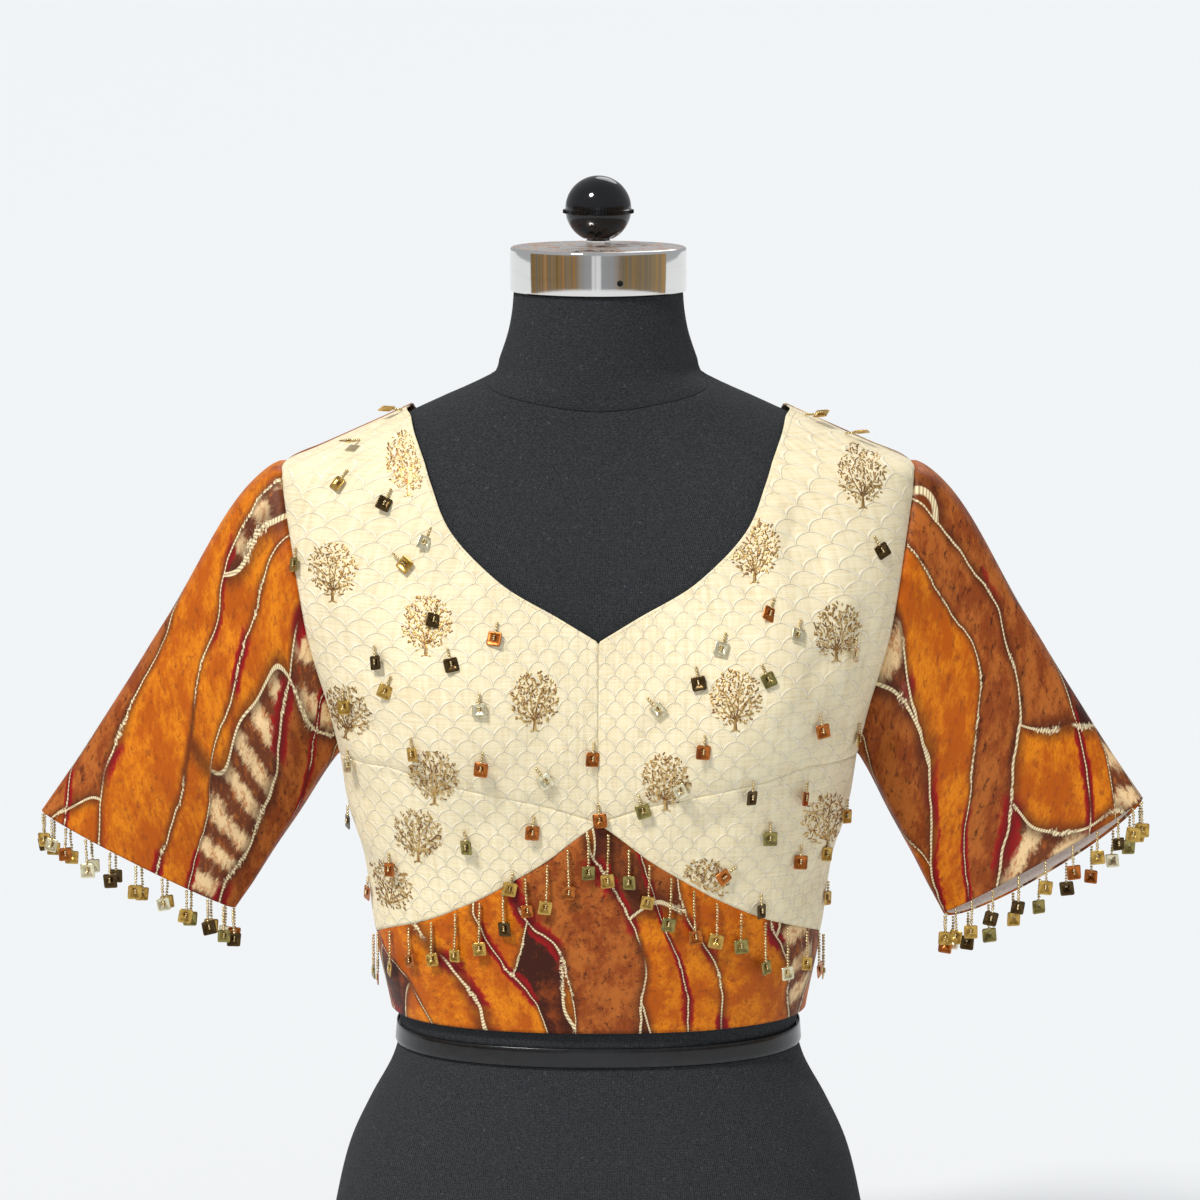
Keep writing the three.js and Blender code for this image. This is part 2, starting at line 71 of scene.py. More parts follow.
# seams seen from the front: distance from the middle, height
BAND_SEAM = [[0, 407], [14, 396.5], [30, 383.8], [51, 370], [74, 356], [104, 341]]
BUST_SEAM = [[0, 407], [18, 413], [37, 419], [69, 426], [99, 432.5], [126, 438]]
ARMHOLE = [[155.9, 440], [158.6, 452.8], [163.2, 474], [169.3, 496.5], [173.7, 515.6], [177.7, 538],
           [181.5, 562], [185.8, 588], [187.4, 600], [188.2, 606]]
FRONT_NECK = [[24, 529], [52, 544.5], [71, 560], [87, 577.5], [96, 596], [101.5, 611], [107, 626],
              [110.4, 635.5], [112.4, 640.3]]
BACK_NECK = [[30, 535], [58, 547], [80, 568], [95, 594], [104.5, 617], [109, 631], [111.8, 638.4],
             [112.8, 641]]
# the cuffs: outer corner, inner corner, half depth in front and behind, drop of the back edge; the left one
# sags 7.5 mm past its solid, so that its lining shows
CUFFS = {
    "left": {"outer": (333.5, 403), "inner": (213, 333), "front": 17, "back": 21, "drop": 18.5},
    "right": {"outer": (341, 395.5), "inner": (224, 335.5), "front": 17, "back": 19, "drop": 6},
}


# ---------------- curves and the body's skin
def ease(t):
    """Rises softly from 0 to 1 as t does."""
    t = np.clip(t, 0, 1)
    return t * t * (3 - 2 * t)


def circle(count):
    return np.linspace(0, 2 * math.pi, count + 1)[:-1]


def smooth(knots, values, at):
    """A smooth curve through values at rising knots, with slopes taken from the neighbours."""
    knots = np.asarray(knots, float)
    values = np.asarray(values, float)
    at = np.clip(np.asarray(at, float), knots[0], knots[-1])
    low = np.maximum(np.arange(len(knots)) - 1, 0)
    high = np.minimum(np.arange(len(knots)) + 1, len(knots) - 1)
    slopes = (values[high] - values[low]) / (knots[high] - knots[low])
    i = np.clip(np.searchsorted(knots, at, side="right") - 1, 0, len(knots) - 2)
    step = knots[i + 1] - knots[i]
    s = (at - knots[i]) / step
    blend = values[i] + (values[i + 1] - values[i]) * ease(s)
    return blend + slopes[i] * step * s * (1 - s) ** 2 - slopes[i + 1] * step * s * s * (1 - s)


def section(column, z):
    return smooth(SECTIONS[:, 0], SECTIONS[:, column], z)


def skin_point(angle, z):
    angle, z = np.broadcast_arrays(np.asarray(angle, float), np.asarray(z, float))
    in_front = np.sin(angle) > 0
    power = section(SQUARE, z)
    depth = np.where(in_front, section(FRONT, z), section(BACK, z))
    reach = (np.abs(np.cos(angle)) / section(WIDE, z)) ** power + (np.abs(np.sin(angle)) / depth) ** power
    radius = reach ** (-1 / power)
    x = radius * np.cos(angle)
    from_side = (np.abs(x) - BUST["x"]) / BUST["across"]
    from_height = (z - BUST["z"]) / np.where(z > BUST["z"], BUST["up"], BUST["down"])
    rise = BUST["rise"] * np.exp(-(from_side ** 2 + from_height ** 2) / 2)
    return np.stack([x, -radius * np.sin(angle) - rise * ease(np.sin(angle) / BUST_FADE), z], -1)


def unit(v):
    return v / np.maximum(np.linalg.norm(v, axis=-1, keepdims=True), 1e-9)


def skin_normal(angle, z):
    along = skin_point(angle + 0.004, z) - skin_point(angle - 0.004, z)
    up = skin_point(angle, z + 0.5) - skin_point(angle, z - 0.5)
    return unit(np.cross(up, along))


def on_skin(angle, z, offset):
    offset = np.asarray(offset, float)[..., None]
    return skin_point(angle, z) + skin_normal(angle, z) * offset


def angle_at(x, z, side):
    power = section(SQUARE, z)
    share = np.maximum(1 - (x / section(WIDE, z)) ** power, 0)
    return side * np.arctan2(section(FRONT if side > 0 else BACK, z) * share ** (1 / power), x)


def track(points):
    points = np.array(points, float)
    steps = np.hypot(np.diff(points[:, 0]) * ANGLE_REACH, np.diff(points[:, 1]))
    knots = np.concatenate([[0], np.cumsum(steps)])

    def read(share):
        at = np.asarray(share, float) * knots[-1]
        return np.stack([smooth(knots, points[:, 0], at), smooth(knots, points[:, 1], at)], -1)
    return read


def seen(rows, side):
    return [[float(angle_at(x, z, side)), z] for x, z in rows]


def straight(start, end):
    a, b = np.array(start, float), np.array(end, float)
    return lambda share: a + (b - a) * np.asarray(share, float)[..., None]


def joined(first, second, cut):
    def read(t):
        t = np.asarray(t, float)
        a = first(np.clip(t / cut, 0, 1))
        b = second(np.clip((t - cut) / (1 - cut), 0, 1))
        return np.where((t <= cut)[..., None], a, b)
    return read


band_seam = track(seen(BAND_SEAM, 1) + [[0, BAND_SIDE]])
bust_seam = track(seen(BUST_SEAM, 1) + [[0, UNDERARM]])
front_armhole = track([[0, UNDERARM]] + seen(ARMHOLE, 1) + [[SEAM_BACK, SHOULDER_TIP]])
back_armhole = track([[0, UNDERARM]] + seen(ARMHOLE, -1) + [[SEAM_BACK, SHOULDER_TIP]])
front_neckline = track([[QUARTER, FRONT_V]] + seen(FRONT_NECK, 1) + [[SEAM_BACK, NECK_POINT]])
back_neckline = track([[-QUARTER, BACK_NECK_LOW]] + seen(BACK_NECK, -1) + [[SEAM_BACK, NECK_POINT]])
centre_front = straight([QUARTER, PEAK], [QUARTER, FRONT_V])
shoulder_seam = straight([SEAM_BACK, NECK_POINT], [SEAM_BACK, SHOULDER_TIP])


def patch(bottom, top, inner, outer, columns, rows):
    u = np.linspace(0, 1, columns + 1)
    v = np.linspace(0, 1, rows + 1)[:, None, None]
    a, b, c, d = bottom(np.array(0.)), bottom(np.array(1.)), top(np.array(0.)), top(np.array(1.))
    side_in, side_out = inner(v[:, 0, 0])[:, None, :], outer(v[:, 0, 0])[:, None, :]
    sides = side_in + (side_out - side_in) * u[None, :, None]
    low, high = bottom(u)[None], top(u)[None]
    ends = low + (high - low) * v
    lows, highs = a + (b - a) * u[:, None], c + (d - c) * u[:, None]
    return sides + ends - (lows[None] + (highs - lows)[None] * v)


# ---------------- mesh making
def finish_piece(obj, node_names, slot, material, is_smooth=True):
    obj.data.materials.append(material)
    if is_smooth:
        obj.data.polygons.foreach_set("use_smooth", [True] * len(obj.data.polygons))
    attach(obj, "root")
    if node_names:
        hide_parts(*node_names)
    return obj


def make_mesh(name, points, faces):
    mesh = bpy.data.meshes.new(name)
    mesh.from_pydata((np.asarray(points) * MM).tolist(), [], [tuple(face) for face in faces])
    mesh.validate()
    mesh.update()
    obj = bpy.data.objects.new(name, mesh)
    bpy.context.scene.collection.objects.link(obj)
    return obj


def grid_faces(rows, columns, ring=False, flip=False):
    i, j = np.meshgrid(np.arange(rows - 1), np.arange(columns if ring else columns - 1), indexing="ij")
    k = (j + 1) % columns
    above = (i + 1) * columns
    quads = np.stack([i * columns + j, i * columns + k, above + k, above + j], -1).reshape(-1, 4)
    return quads[:, ::-1] if flip else quads


def shell(name, points, uv, middle, thickness=1.1, mirror=False):
    """A thin cloth shell whose outer face, away from middle, is the grid of points; the wall goes inwards."""
    points = np.array(points)
    if mirror:
        points[..., 0] *= -1
        uv = np.stack([uv[..., 0] + 0.37, uv[..., 1] + 0.11], -1)
    obj = make_mesh(name, points.reshape(-1, 3), grid_faces(*points.shape[:2]))
    mesh = obj.data
    if sum((face.center - middle(obj)).dot(face.normal) for face in mesh.polygons) < 0:
        mesh.flip_normals()
    layer = mesh.uv_layers.new(name="cloth")
    loops = np.empty(len(mesh.loops), int)
    mesh.loops.foreach_get("vertex_index", loops)
    layer.data.foreach_set("uv", np.asarray(uv).reshape(-1, 2)[loops].ravel())
    solid = obj.modifiers.new("wall", "SOLIDIFY")
    solid.thickness = thickness * MM
    solid.offset = -1
    return obj


def box_middle(obj):
    return sum((Vector(corner) for corner in obj.bound_box), Vector()) / 8


def axis_middle(obj):
    return Vector((0, 0, box_middle(obj).z))


def apply_modifiers(obj):
    bpy.context.view_layer.update()
    graph = bpy.context.evaluated_depsgraph_get()
    mesh = bpy.data.meshes.new_from_object(obj.evaluated_get(graph))
    obj.modifiers.clear()
    obj.data = mesh


# ---------------- creases
# angle and height where each starts and ends, width, depth: soft troughs (negative) and ridges on the body
BODY_CREASES = [
    [0.62, 585, 0.50, 520, 6, -1.5], [0.52, 572, 0.40, 500, 5, 1.1], [0.42, 545, 0.33, 478, 5, -1.3],
    [0.75, 560, 0.60, 470, 8, 0.9], [0.33, 470, 0.62, 447, 6, -1.3], [0.20, 455, 0.55, 430, 5, 1.0],
    [0.12, 425, 0.55, 400, 6, -1.1], [0.10, 395, 0.48, 372, 6, 0.9], [0.15, 360, 0.55, 352, 7, -0.9],
    [1.35, 470, 1.10, 455, 7, -1.0], [1.30, 445, 1.02, 420, 6, 0.8], [0.9, 620, 0.55, 600, 5, -0.8],
    [1.10, 330, 0.70, 300, 8, -0.9], [1.45, 320, 1.15, 288, 8, 0.8], [0.40, 310, 0.25, 285, 7, -0.9],
    [0.50, 603, 0.58, 545, 5, -1.4], [0.60, 600, 0.70, 535, 6, 1.2], [0.70, 590, 0.80, 520, 6, -1.1],
    [0.44, 520, 0.66, 470, 5, -1.3], [0.50, 500, 0.80, 462, 6, 1.0], [0.36, 440, 0.80, 415, 5, -1.0],
    [0.80, 410, 1.05, 395, 6, -0.9], [1.0, 600, 0.85, 560, 6, -0.8],
    [-0.30, 560, -0.60, 480, 8, -1.8], [-0.45, 575, -0.85, 500, 7, 1.3], [-0.20, 450, -0.75, 420, 8, -1.6],
    [-0.15, 415, -0.85, 380, 7, 1.3], [-0.20, 360, -0.95, 340, 9, -1.5], [-0.3, 320, -1.2, 305, 8, 1.2],
    [-1.2, 520, -1.35, 430, 9, -1.1], [-1.1, 400, -1.45, 385, 7, -0.9], [-0.9, 600, -1.1, 540, 8, 1.0],
]
CREASE_GAIN, DEEPEST = 1.8, -1.8


def ramp(distance, width):
    return np.exp(-(distance / width) ** 2 / 2)


def stroke(a, b, start, end, width, depth):
    """A soft crease from start to end over a plane of a and b, deepest in its middle third."""
    start, end = np.array(start, float), np.array(end, float)
    line = end - start
    length = max(np.hypot(*line), 1e-6)
    t = ((a - start[0]) * line[0] + (b - start[1]) * line[1]) / length ** 2
    off = ((a - start[0]) * line[1] - (b - start[1]) * line[0]) / length
    bend = 3.5 * np.sin(np.clip(t, 0, 1) * math.pi)
    ends = np.clip(t * 3, 0, 1) * np.clip((1 - t) * 2.2, 0, 1)
    return depth * ramp(off + bend, width) * ease(ends)


def body_relief(angle, z, sign):
    """How far the cloth stands off its plain form. The right side's creases lie a little otherwise."""
    shift = 0.0 if sign > 0 else 0.035
    lift = 0.0
    for from_angle, from_z, to_angle, to_z, width, depth in BODY_CREASES:
        start = (from_angle * ANGLE_REACH + shift * 90, from_z - shift * 160)
        end = (to_angle * ANGLE_REACH, to_z + shift * 130)
        width, depth = width * (1 + shift * 4), depth * (1 - shift * 6)
        lift = lift + stroke(angle * ANGLE_REACH, z, start, end, width, depth)
    wave = 0.35 * np.sin(angle * 11 + z * 0.021 + sign) * np.sin(z * 0.047 + angle * 3 + 2 * sign)
    return np.maximum(lift * CREASE_GAIN + wave, DEEPEST)


def seam_dip(rows, columns, sides, depth, reach=2.5):
    """Presses a panel down along its seamed edges, so that a seam reads as a groove."""
    v = np.arange(rows)[:, None]
    u = np.arange(columns)[None, :]
    dip = np.zeros((rows, columns))
    for side in sides:
        far = {"bottom": v, "top": rows - 1 - v, "inner": u, "outer": columns - 1 - u}[side]
        dip -= depth * np.exp(-far / reach)
    return dip


def body_panel(key, spots, seams, sign, groove=0.7):
    angle, z = spots[..., 0], spots[..., 1]
    lift = body_relief(angle, z, sign) + seam_dip(*z.shape, seams, groove)
    run_on = -1 if "back" in key and sign < 0 else 1
    uv = np.stack([run_on * angle * 0.125, z * MM], -1)
    points = on_skin(angle, z, CLOTH_OUT + lift)
    cloth[key] = shell(f"cloth_{key}", points, uv, axis_middle, mirror=sign < 0)


# ---------------- materials
def operation(name, swapped=False):
    def apply(self, other=0.0):
        return self.nodes.math(name, other, self) if swapped else self.nodes.math(name, self, other)
    return apply


class Value:
    """What a node gives out. Arithmetic on it adds the nodes that work it out."""

    __add__ = __radd__ = operation("ADD")
    __sub__ = operation("SUBTRACT")
    __rsub__ = operation("SUBTRACT", swapped=True)
    __mul__ = __rmul__ = operation("MULTIPLY")
    __truediv__ = operation("DIVIDE")
    __mod__ = operation("MODULO")
    __abs__ = operation("ABSOLUTE")
    floor = operation("FLOOR")
    fract = operation("FRACT")
    sine = operation("SINE")
    root = operation("SQRT")

    def __init__(self, nodes, socket):
        self.nodes = nodes
        self.socket = socket


def opaque(colour):
    return (*colour, 1) if isinstance(colour, tuple) else colour


class Nodes:
    """Short ways to build one material's node tree."""

    def __init__(self, name, roughness, metallic=0.0, sheen=0.0, specular=0.5):
        self.material = bpy.data.materials.new(name)
        self.material.use_nodes = True
        self.tree = self.material.node_tree
        self.shader = self.tree.nodes["Principled BSDF"]
        finish = {"Roughness": roughness, "Metallic": metallic, "Sheen Weight": sheen, "Sheen Roughness": 0.4,
                  "Specular IOR Level": specular}
        for socket, value in finish.items():
            self.shader.inputs[socket].default_value = value

    def link(self, value, socket):
        if isinstance(value, Value):
            self.tree.links.new(value.socket, socket)
        else:
            socket.default_value = value

    def new(self, kind, inputs, output=0, **settings):
        """Adds a node with its settings and inputs, and gives one of its outputs."""
        node = self.tree.nodes.new("ShaderNode" + kind)
        for key, value in settings.items():
            setattr(node, key, value)
        for key, value in inputs.items():
            self.link(value, node.inputs[key])
        return Value(self, node.outputs[output])

    def math(self, name, a, b):
        return self.new("Math", {0: a, 1: b}, operation=name)

    def place(self, scale=(1, 1, 1), turn=0.0, source="UV"):
        where = self.new("TexCoord", {}, source)
        return self.new("Mapping", {"Vector": where, "Scale": scale, "Rotation": (0, 0, turn)})

    def split(self, vector):
        node = self.new("SeparateXYZ", {0: vector}).socket.node
        return [Value(self, socket) for socket in node.outputs]

    def noise(self, vector, scale, detail=3.0, rough=0.55):
        return self.new("TexNoise", {"Vector": vector, "Scale": scale, "Detail": detail, "Roughness": rough})

    def colours(self, value, stops):
        ramp_out = self.new("ValToRGB", {0: value})
        elements = ramp_out.socket.node.color_ramp.elements
        while len(elements) < len(stops):
            elements.new(0.5)
        for element, (at, colour) in zip(elements, stops):
            element.position = at
            element.color = opaque(colour)
        return ramp_out

    def step(self, value, low, high):
        return self.new("MapRange", {0: value, 1: low, 2: high}, interpolation_type="SMOOTHSTEP")

    def mixed(self, share, a, b):
        return self.new("Mix", {0: share, 6: opaque(a), 7: opaque(b)}, 2, data_type="RGBA")

    def pick(self, value):
        """An even spread of numbers from 0 to 1, one for each whole number."""
        return self.new("TexWhiteNoise", {"W": value}, "Value", noise_dimensions="1D")

    def finish(self, colour, height=None, distance=0.0003, strength=1.0):
        self.link(opaque(colour), self.shader.inputs["Base Color"])
        if height is not None:
            bump = self.new("Bump", {"Distance": distance, "Strength": strength, "Height": height})
            self.link(bump, self.shader.inputs["Normal"])
        return self.material


SCALE_WIDTH, SCALE_HEIGHT = 0.0136, 0.0074


def cream_material():
    """Slubby cream cloth with cords laid over it in rows of arches, each row half a step along, and a painted
    shadow beside each cord.
    """
    n = Nodes("cream_slub", 0.62, sheen=0.06, specular=0.25)
    x, y, _ = n.split(n.place())
    row = (y / SCALE_HEIGHT).floor()
    climb = (y / SCALE_HEIGHT).fract()
    wobble = (n.noise(n.place(), 60, 2) - 0.5) * 0.18
    across = (x / SCALE_WIDTH + (abs(row) % 2.0) * 0.5 + wobble).fract()
    centred = (across - 0.5) * 1.98
    arch = (1.0 - centred * centred).root()
    gap = abs(climb - arch) / (abs(centred) * 0.9 + 0.35)
    cord = 1.0 - n.step(gap, 0.05, 0.17)
    slub = n.noise(n.place((420, 38, 1)), 1.0, 3) * 0.5 + n.noise(n.place((45, 900, 1)), 1.0, 3) * 0.5
    tone = n.colours(slub, [(0.3, (0.72, 0.59, 0.36)), (0.5, (0.89, 0.78, 0.52)), (0.7, (0.95, 0.87, 0.65))])
    patchy = n.step(n.noise(n.place(), 14, 2), 0.3, 0.75)
    tone = n.mixed(patchy * 0.22, tone, (0.72, 0.57, 0.36))
    tone = n.mixed(cord * 0.5, tone, (0.93, 0.87, 0.71))
    # painted shadow: a darker brown band laid just beside each raised cord, where shade would fall
    painted_cord_shadow = n.step(gap, 0.16, 0.3) - n.step(gap, 0.35, 0.7)
    tone = n.mixed(painted_cord_shadow * 0.10, tone, (0.56, 0.42, 0.24))
    return n.finish(tone, cord + slub * 0.9, 0.0005, 0.9)


AMBER, DEEP_AMBER = (0.72, 0.215, 0.006), (0.46, 0.092, 0.003)
RUST, PALE_RUST = (0.25, 0.050, 0.008), (0.44, 0.122, 0.020)
DARK_BROWN, CREAM_BAR, BROWN_BAR = (0.048, 0.010, 0.005), (0.88, 0.62, 0.33), (0.16, 0.042, 0.014)
CRIMSON, VEIN = (0.36, 0.004, 0.008), (0.90, 0.76, 0.47)
RIBBONS_A_METRE, PRINT_TURN = 27.0, 0.42


def print_material():
    """Flowing ribbons of amber, rust and brown with pale stitched veins: a generic marbled print."""
    n = Nodes("marbled_print", 0.5, specular=0.16)
    x, y, _ = n.split(n.place(turn=PRINT_TURN))
    slow = n.noise(n.place(), 7.0, 1.5) - 0.5
    quick = n.noise(n.place(), 34, 2) - 0.5
    flow = x * RIBBONS_A_METRE + slow * 3.4 + quick * 0.22
    flow = flow + (flow * 2.3).sine() * 0.22
    ribbon = flow.floor()
    edge = abs(flow.fract() - 0.5)
    # some ribbons are cut across into cells
    cross = y * 11.0 + x * 14.0 + slow * -4.2
    cross_edge = abs(cross.fract() - 0.5)
    is_crossed = n.step(n.pick(ribbon + 7.3), 0.40, 0.402)
    chosen = (n.pick(ribbon + 41.0) + cross.floor() * is_crossed * 0.381).fract()
    # the colours of the four kinds of cell
    speckle = n.noise(n.place(), 190, 6, 0.75)
    blotch = n.noise(n.place(), 42, 7, 0.75)
    grit = n.noise(n.place(), 420, 4, 0.8)
    amber = n.mixed(n.step(blotch, 0.40, 0.58), AMBER, DEEP_AMBER)
    amber = n.mixed(n.step(speckle, 0.52, 0.64) * 0.75, amber, RUST)
    amber = n.mixed(n.step(grit, 0.48, 0.62) * 0.55, amber, DEEP_AMBER)
    rust = n.mixed(n.step(blotch, 0.42, 0.58), RUST, PALE_RUST)
    rust = n.mixed(n.step(speckle, 0.53, 0.64) * 0.85, rust, DARK_BROWN)
    rust = n.mixed(n.step(grit, 0.52, 0.7) * 0.4, rust, PALE_RUST)
    dark = n.mixed(n.step(blotch, 0.46, 0.68), DARK_BROWN, RUST)
    dark = n.mixed(n.step(speckle, 0.58, 0.7) * 0.5, dark, DEEP_AMBER)
    bars = (y * 300.0 + slow * 26.0).sine()
    brush = n.noise(n.place((260, 90, 1), PRINT_TURN), 1.0, 6, 0.8) - 0.5
    barred = n.mixed(n.step(bars + brush * 5.5, -0.6, 0.8), BROWN_BAR, CREAM_BAR)
    barred = n.mixed(n.step(speckle, 0.5, 0.62) * 0.7, barred, PALE_RUST)
    colour = n.mixed(n.step(chosen, 0.55, 0.552), amber, rust)
    colour = n.mixed(n.step(chosen, 0.72, 0.722), colour, dark)
    colour = n.mixed(n.step(chosen, 0.84, 0.842), colour, barred)
    # crimson and shade beside the veins, then the veins, as twisted thread
    red = n.step(n.noise(n.place(), 13, 2), 0.52, 0.58) * n.step(edge + (speckle - 0.5) * 0.35, 0.32, 0.40)
    colour = n.mixed(red, colour, CRIMSON)
    line = n.math("MAXIMUM", edge, cross_edge * is_crossed)
    colour = n.mixed(n.step(line, 0.33, 0.5) * 0.75, colour, DARK_BROWN)
    fat = n.step(n.noise(n.place(), 30, 1), 0.52, 0.6) * 0.035
    frayed = (grit - 0.62) * fat * 7.0
    twist = (y * 3300.0 + edge * 60.0).sine()
    threads = n.step(twist, -0.5, 0.3) * 0.55 + 0.45
    shown = n.step(n.noise(n.place((1, 1, 1), 1.1), 19, 1), 0.34, 0.42)
    vein = n.step(line + fat + frayed, 0.480, 0.489) * threads * shown
    colour = n.mixed(vein, colour, VEIN)
    weave = n.noise(n.place((900, 900, 1)), 1.0, 2)
    return n.finish(colour, weave + vein * 0.8, 0.00022, 0.8)


def plain_cloth(name, colour, lighter, roughness, scale, sheen=0.1, distance=0.0002):
    n = Nodes(name, roughness, sheen=sheen)
    grain = n.noise(n.place((scale, scale, scale), source="Object"), 1.0, 3)
    return n.finish(n.mixed(n.step(grain, 0.35, 0.7), colour, lighter), grain, distance, 0.7)


def jersey_material():
    """Fine black rib knit with pale lint."""
    n = Nodes("form_jersey_knit", 0.9, sheen=0.02, specular=0.15)
    x, y, z = n.split(n.place(source="Object"))
    ribs = (n.math("ARCTAN2", y, x) * 620.0).sine()
    loops = (z * 3900.0).sine()
    lint = n.step(n.noise(n.place(source="Object"), 420, 2), 0.68, 0.76)
    yarn = n.noise(n.place((700, 700, 1500), source="Object"), 1.0, 3)
    tone = n.mixed(n.step(ribs, -0.7, 0.9), (0.010, 0.011, 0.013), (0.031, 0.033, 0.036))
    tone = n.mixed(n.step(yarn, 0.35, 0.7), tone, (0.042, 0.044, 0.048))
    tone = n.mixed(lint * 0.35, tone, (0.16, 0.17, 0.18))
    return n.finish(tone, ribs + loops * 0.5, 0.0002, 0.5)


def chrome_material():
    """Polished plate with rust and dust on the flat top only."""
    n = Nodes("form_chrome_plate", 0.09, metallic=1.0)
    _, _, up = n.split(n.place(source="Normal"))
    rust = n.step(n.noise(n.place(source="Object"), 130, 6, 0.75), 0.46, 0.56)
    on_top = n.step(up, 0.9, 0.98) * rust
    scuff = n.noise(n.place((30, 30, 260), source="Object"), 1.0, 4)
    tone = n.mixed(n.step(scuff, 0.55, 0.75) * 0.18, (0.78, 0.77, 0.75), (0.45, 0.42, 0.38))
    tone = n.mixed(on_top * 0.9, tone, (0.30, 0.15, 0.075))
    n.link(on_top * 0.7 + 0.07, n.shader.inputs["Roughness"])
    n.link(1.0 - on_top * 0.95, n.shader.inputs["Metallic"])
    return n.finish(tone, scuff, 0.00004, 0.3)


def metal(name, colour, darker, roughness=0.28):
    n = Nodes(name, roughness, metallic=0.85)
    worn = n.noise(n.place(source="Object"), 260, 3)
    return n.finish(n.mixed(n.step(worn, 0.4, 0.7), colour, darker), worn, 0.00006, 0.5)


cream = cream_material()
printed = print_material()
lining = plain_cloth("lining_cotton", (0.74, 0.61, 0.54), (0.84, 0.72, 0.65), 0.8, 500)
jersey = jersey_material()
chrome = chrome_material()
ribbon = plain_cloth("form_satin_ribbon", (0.003, 0.003, 0.004), (0.009, 0.009, 0.010), 0.22, 300, 0, 0.00005)
knob_gloss = plain_cloth("form_bakelite", (0.003, 0.003, 0.004), (0.006, 0.006, 0.007), 0.08, 80, 0, 0.00001)
stitch_cream = plain_cloth("cream_thread", (0.80, 0.70, 0.50), (0.92, 0.84, 0.66), 0.55, 900)
stitch_gold = metal("gold_thread", (0.72, 0.50, 0.20), (0.48, 0.28, 0.09), 0.42)
stitch_brown = metal("brown_gold_thread", (0.36, 0.19, 0.07), (0.22, 0.10, 0.03), 0.45)
# the beads, then the five finishes of the plates
TRIM = [
    metal("seed_beads", (0.72, 0.58, 0.32), (0.45, 0.32, 0.13), 0.25),
    metal("plate_antique_gold", (0.62, 0.40, 0.10), (0.36, 0.20, 0.04)),
    metal("plate_olive", (0.34, 0.28, 0.09), (0.17, 0.14, 0.05)),
    metal("plate_bronze", (0.10, 0.060, 0.02), (0.05, 0.03, 0.012)),
    metal("plate_copper", (0.52, 0.16, 0.03), (0.28, 0.08, 0.02)),
    metal("plate_pale", (0.84, 0.78, 0.56), (0.6, 0.52, 0.3)),
]


# ---------------- the dress form
STUMP_START, STUMP_RUN = 148, 30  # the shoulder stumps, by distance from the middle, draw in a little


def neck_seam_height(angle):
    s = np.sin(angle)
    return 666 - 12 * s - 7 * s * s


def form_points(angle, z):
    width = np.abs(skin_point(angle, z)[..., 0])
    stump = ease((width - STUMP_START) / STUMP_RUN) * (z > UNDERARM)
    return on_skin(angle, z, -0.8 - 2.6 * stump)


def cover(name, points, node):
    """Jersey over a form's solid: rings of points, closed at both ends."""
    rows, columns = points.shape[:2]
    flat = [*points.reshape(-1, 3), points[0].mean(0), points[-1].mean(0)]
    faces = list(grid_faces(rows, columns, ring=True, flip=True))
    for j in range(columns):
        k = (j + 1) % columns
        last = (rows - 1) * columns
        faces += [(rows * columns, j, k), (rows * columns + 1, last + k, last + j)]
    obj = make_mesh(name, flat, faces)
    sharp = obj.modifiers.new("rim", "EDGE_SPLIT")
    sharp.split_angle = math.radians(50)
    apply_modifiers(obj)
    finish_piece(obj, [node], "form_jersey", jersey)


round_angles = circle(180)
share = np.linspace(0, 1, 170)[:, None]
torso_z = share * (neck_seam_height(round_angles)[None] - 0.2)
torso = form_points(round_angles, torso_z)
torso[0, :, 2] = 0
torso[-1] = on_skin(round_angles, torso_z[-1], -1.6)
cover("form_torso_cover", torso, "form_torso")
neck_low = neck_seam_height(round_angles)[None] + 0.3
neck_z = neck_low + np.linspace(0, 1, 30)[:, None] * (NECK_TOP - neck_low)
neck = form_points(round_angles, neck_z)
neck[0] = on_skin(round_angles, neck_z[0], -1.6)
cover("form_neck_cover", neck, "form_neck")

# the waist ribbon's section: share of its width, distance out; it closes on itself
RIBBON_LOW, RIBBON_HIGH = 254.7, 267
RIBBON_SECTION = [(0.15, 0.3), (0.0, 0.7), (0.06, 1.3), (0.25, 1.5), (0.75, 1.5), (0.94, 1.3), (1.0, 0.7),
                  (0.85, 0.3)]
wraps = []
for share_up, out in RIBBON_SECTION:
    height = RIBBON_LOW + (RIBBON_HIGH - RIBBON_LOW) * share_up
    wraps.append(on_skin(round_angles, height, out + 0.12 * np.sin(round_angles * 5)))
wraps = np.concatenate(wraps)
ribbon_faces = grid_faces(len(RIBBON_SECTION) + 1, 180, ring=True, flip=True) % len(wraps)
tape = make_mesh("waist_ribbon_satin", wraps, ribbon_faces)
finish_piece(tape, ["form_waist_ribbon"], "form_ribbon", ribbon)


def turned(name, outline, segments, node, slot, material):
    """A lathe piece from its outline of radius and height, with its crisp edges kept."""
    points = [(r * math.cos(a), r * math.sin(a), z) for r, z in outline for a in circle(segments)]
    faces = list(grid_faces(len(outline), segments, ring=True))
    faces.append(reversed(range(segments)))
    faces.append(range(len(points) - segments, len(points)))
    obj = make_mesh(name, points, faces)
    sharp = obj.modifiers.new("edges", "EDGE_SPLIT")
    sharp.split_angle = math.radians(34)
    apply_modifiers(obj)
    finish_piece(obj, [node], slot, material)


def arc(r, z, radius, start, end, steps=5):
    return [(r + radius * math.cos(a), z + radius * math.sin(a)) for a in np.linspace(start, end, steps)]


CAP_RADIUS, CAP_LOW, CAP_HIGH = 53.4, 715, 741.7
cap_outline = [(51.8, CAP_LOW)] + arc(52.4, 716, 1.0, -QUARTER, 0) + arc(51.4, 739.7, 2.0, 0, QUARTER)
cap_outline += [(30, CAP_HIGH + 0.05), (12, CAP_HIGH + 0.1)]
turned("neck_cap_plate", cap_outline, 128, "form_neck_cap", "form_chrome", chrome)

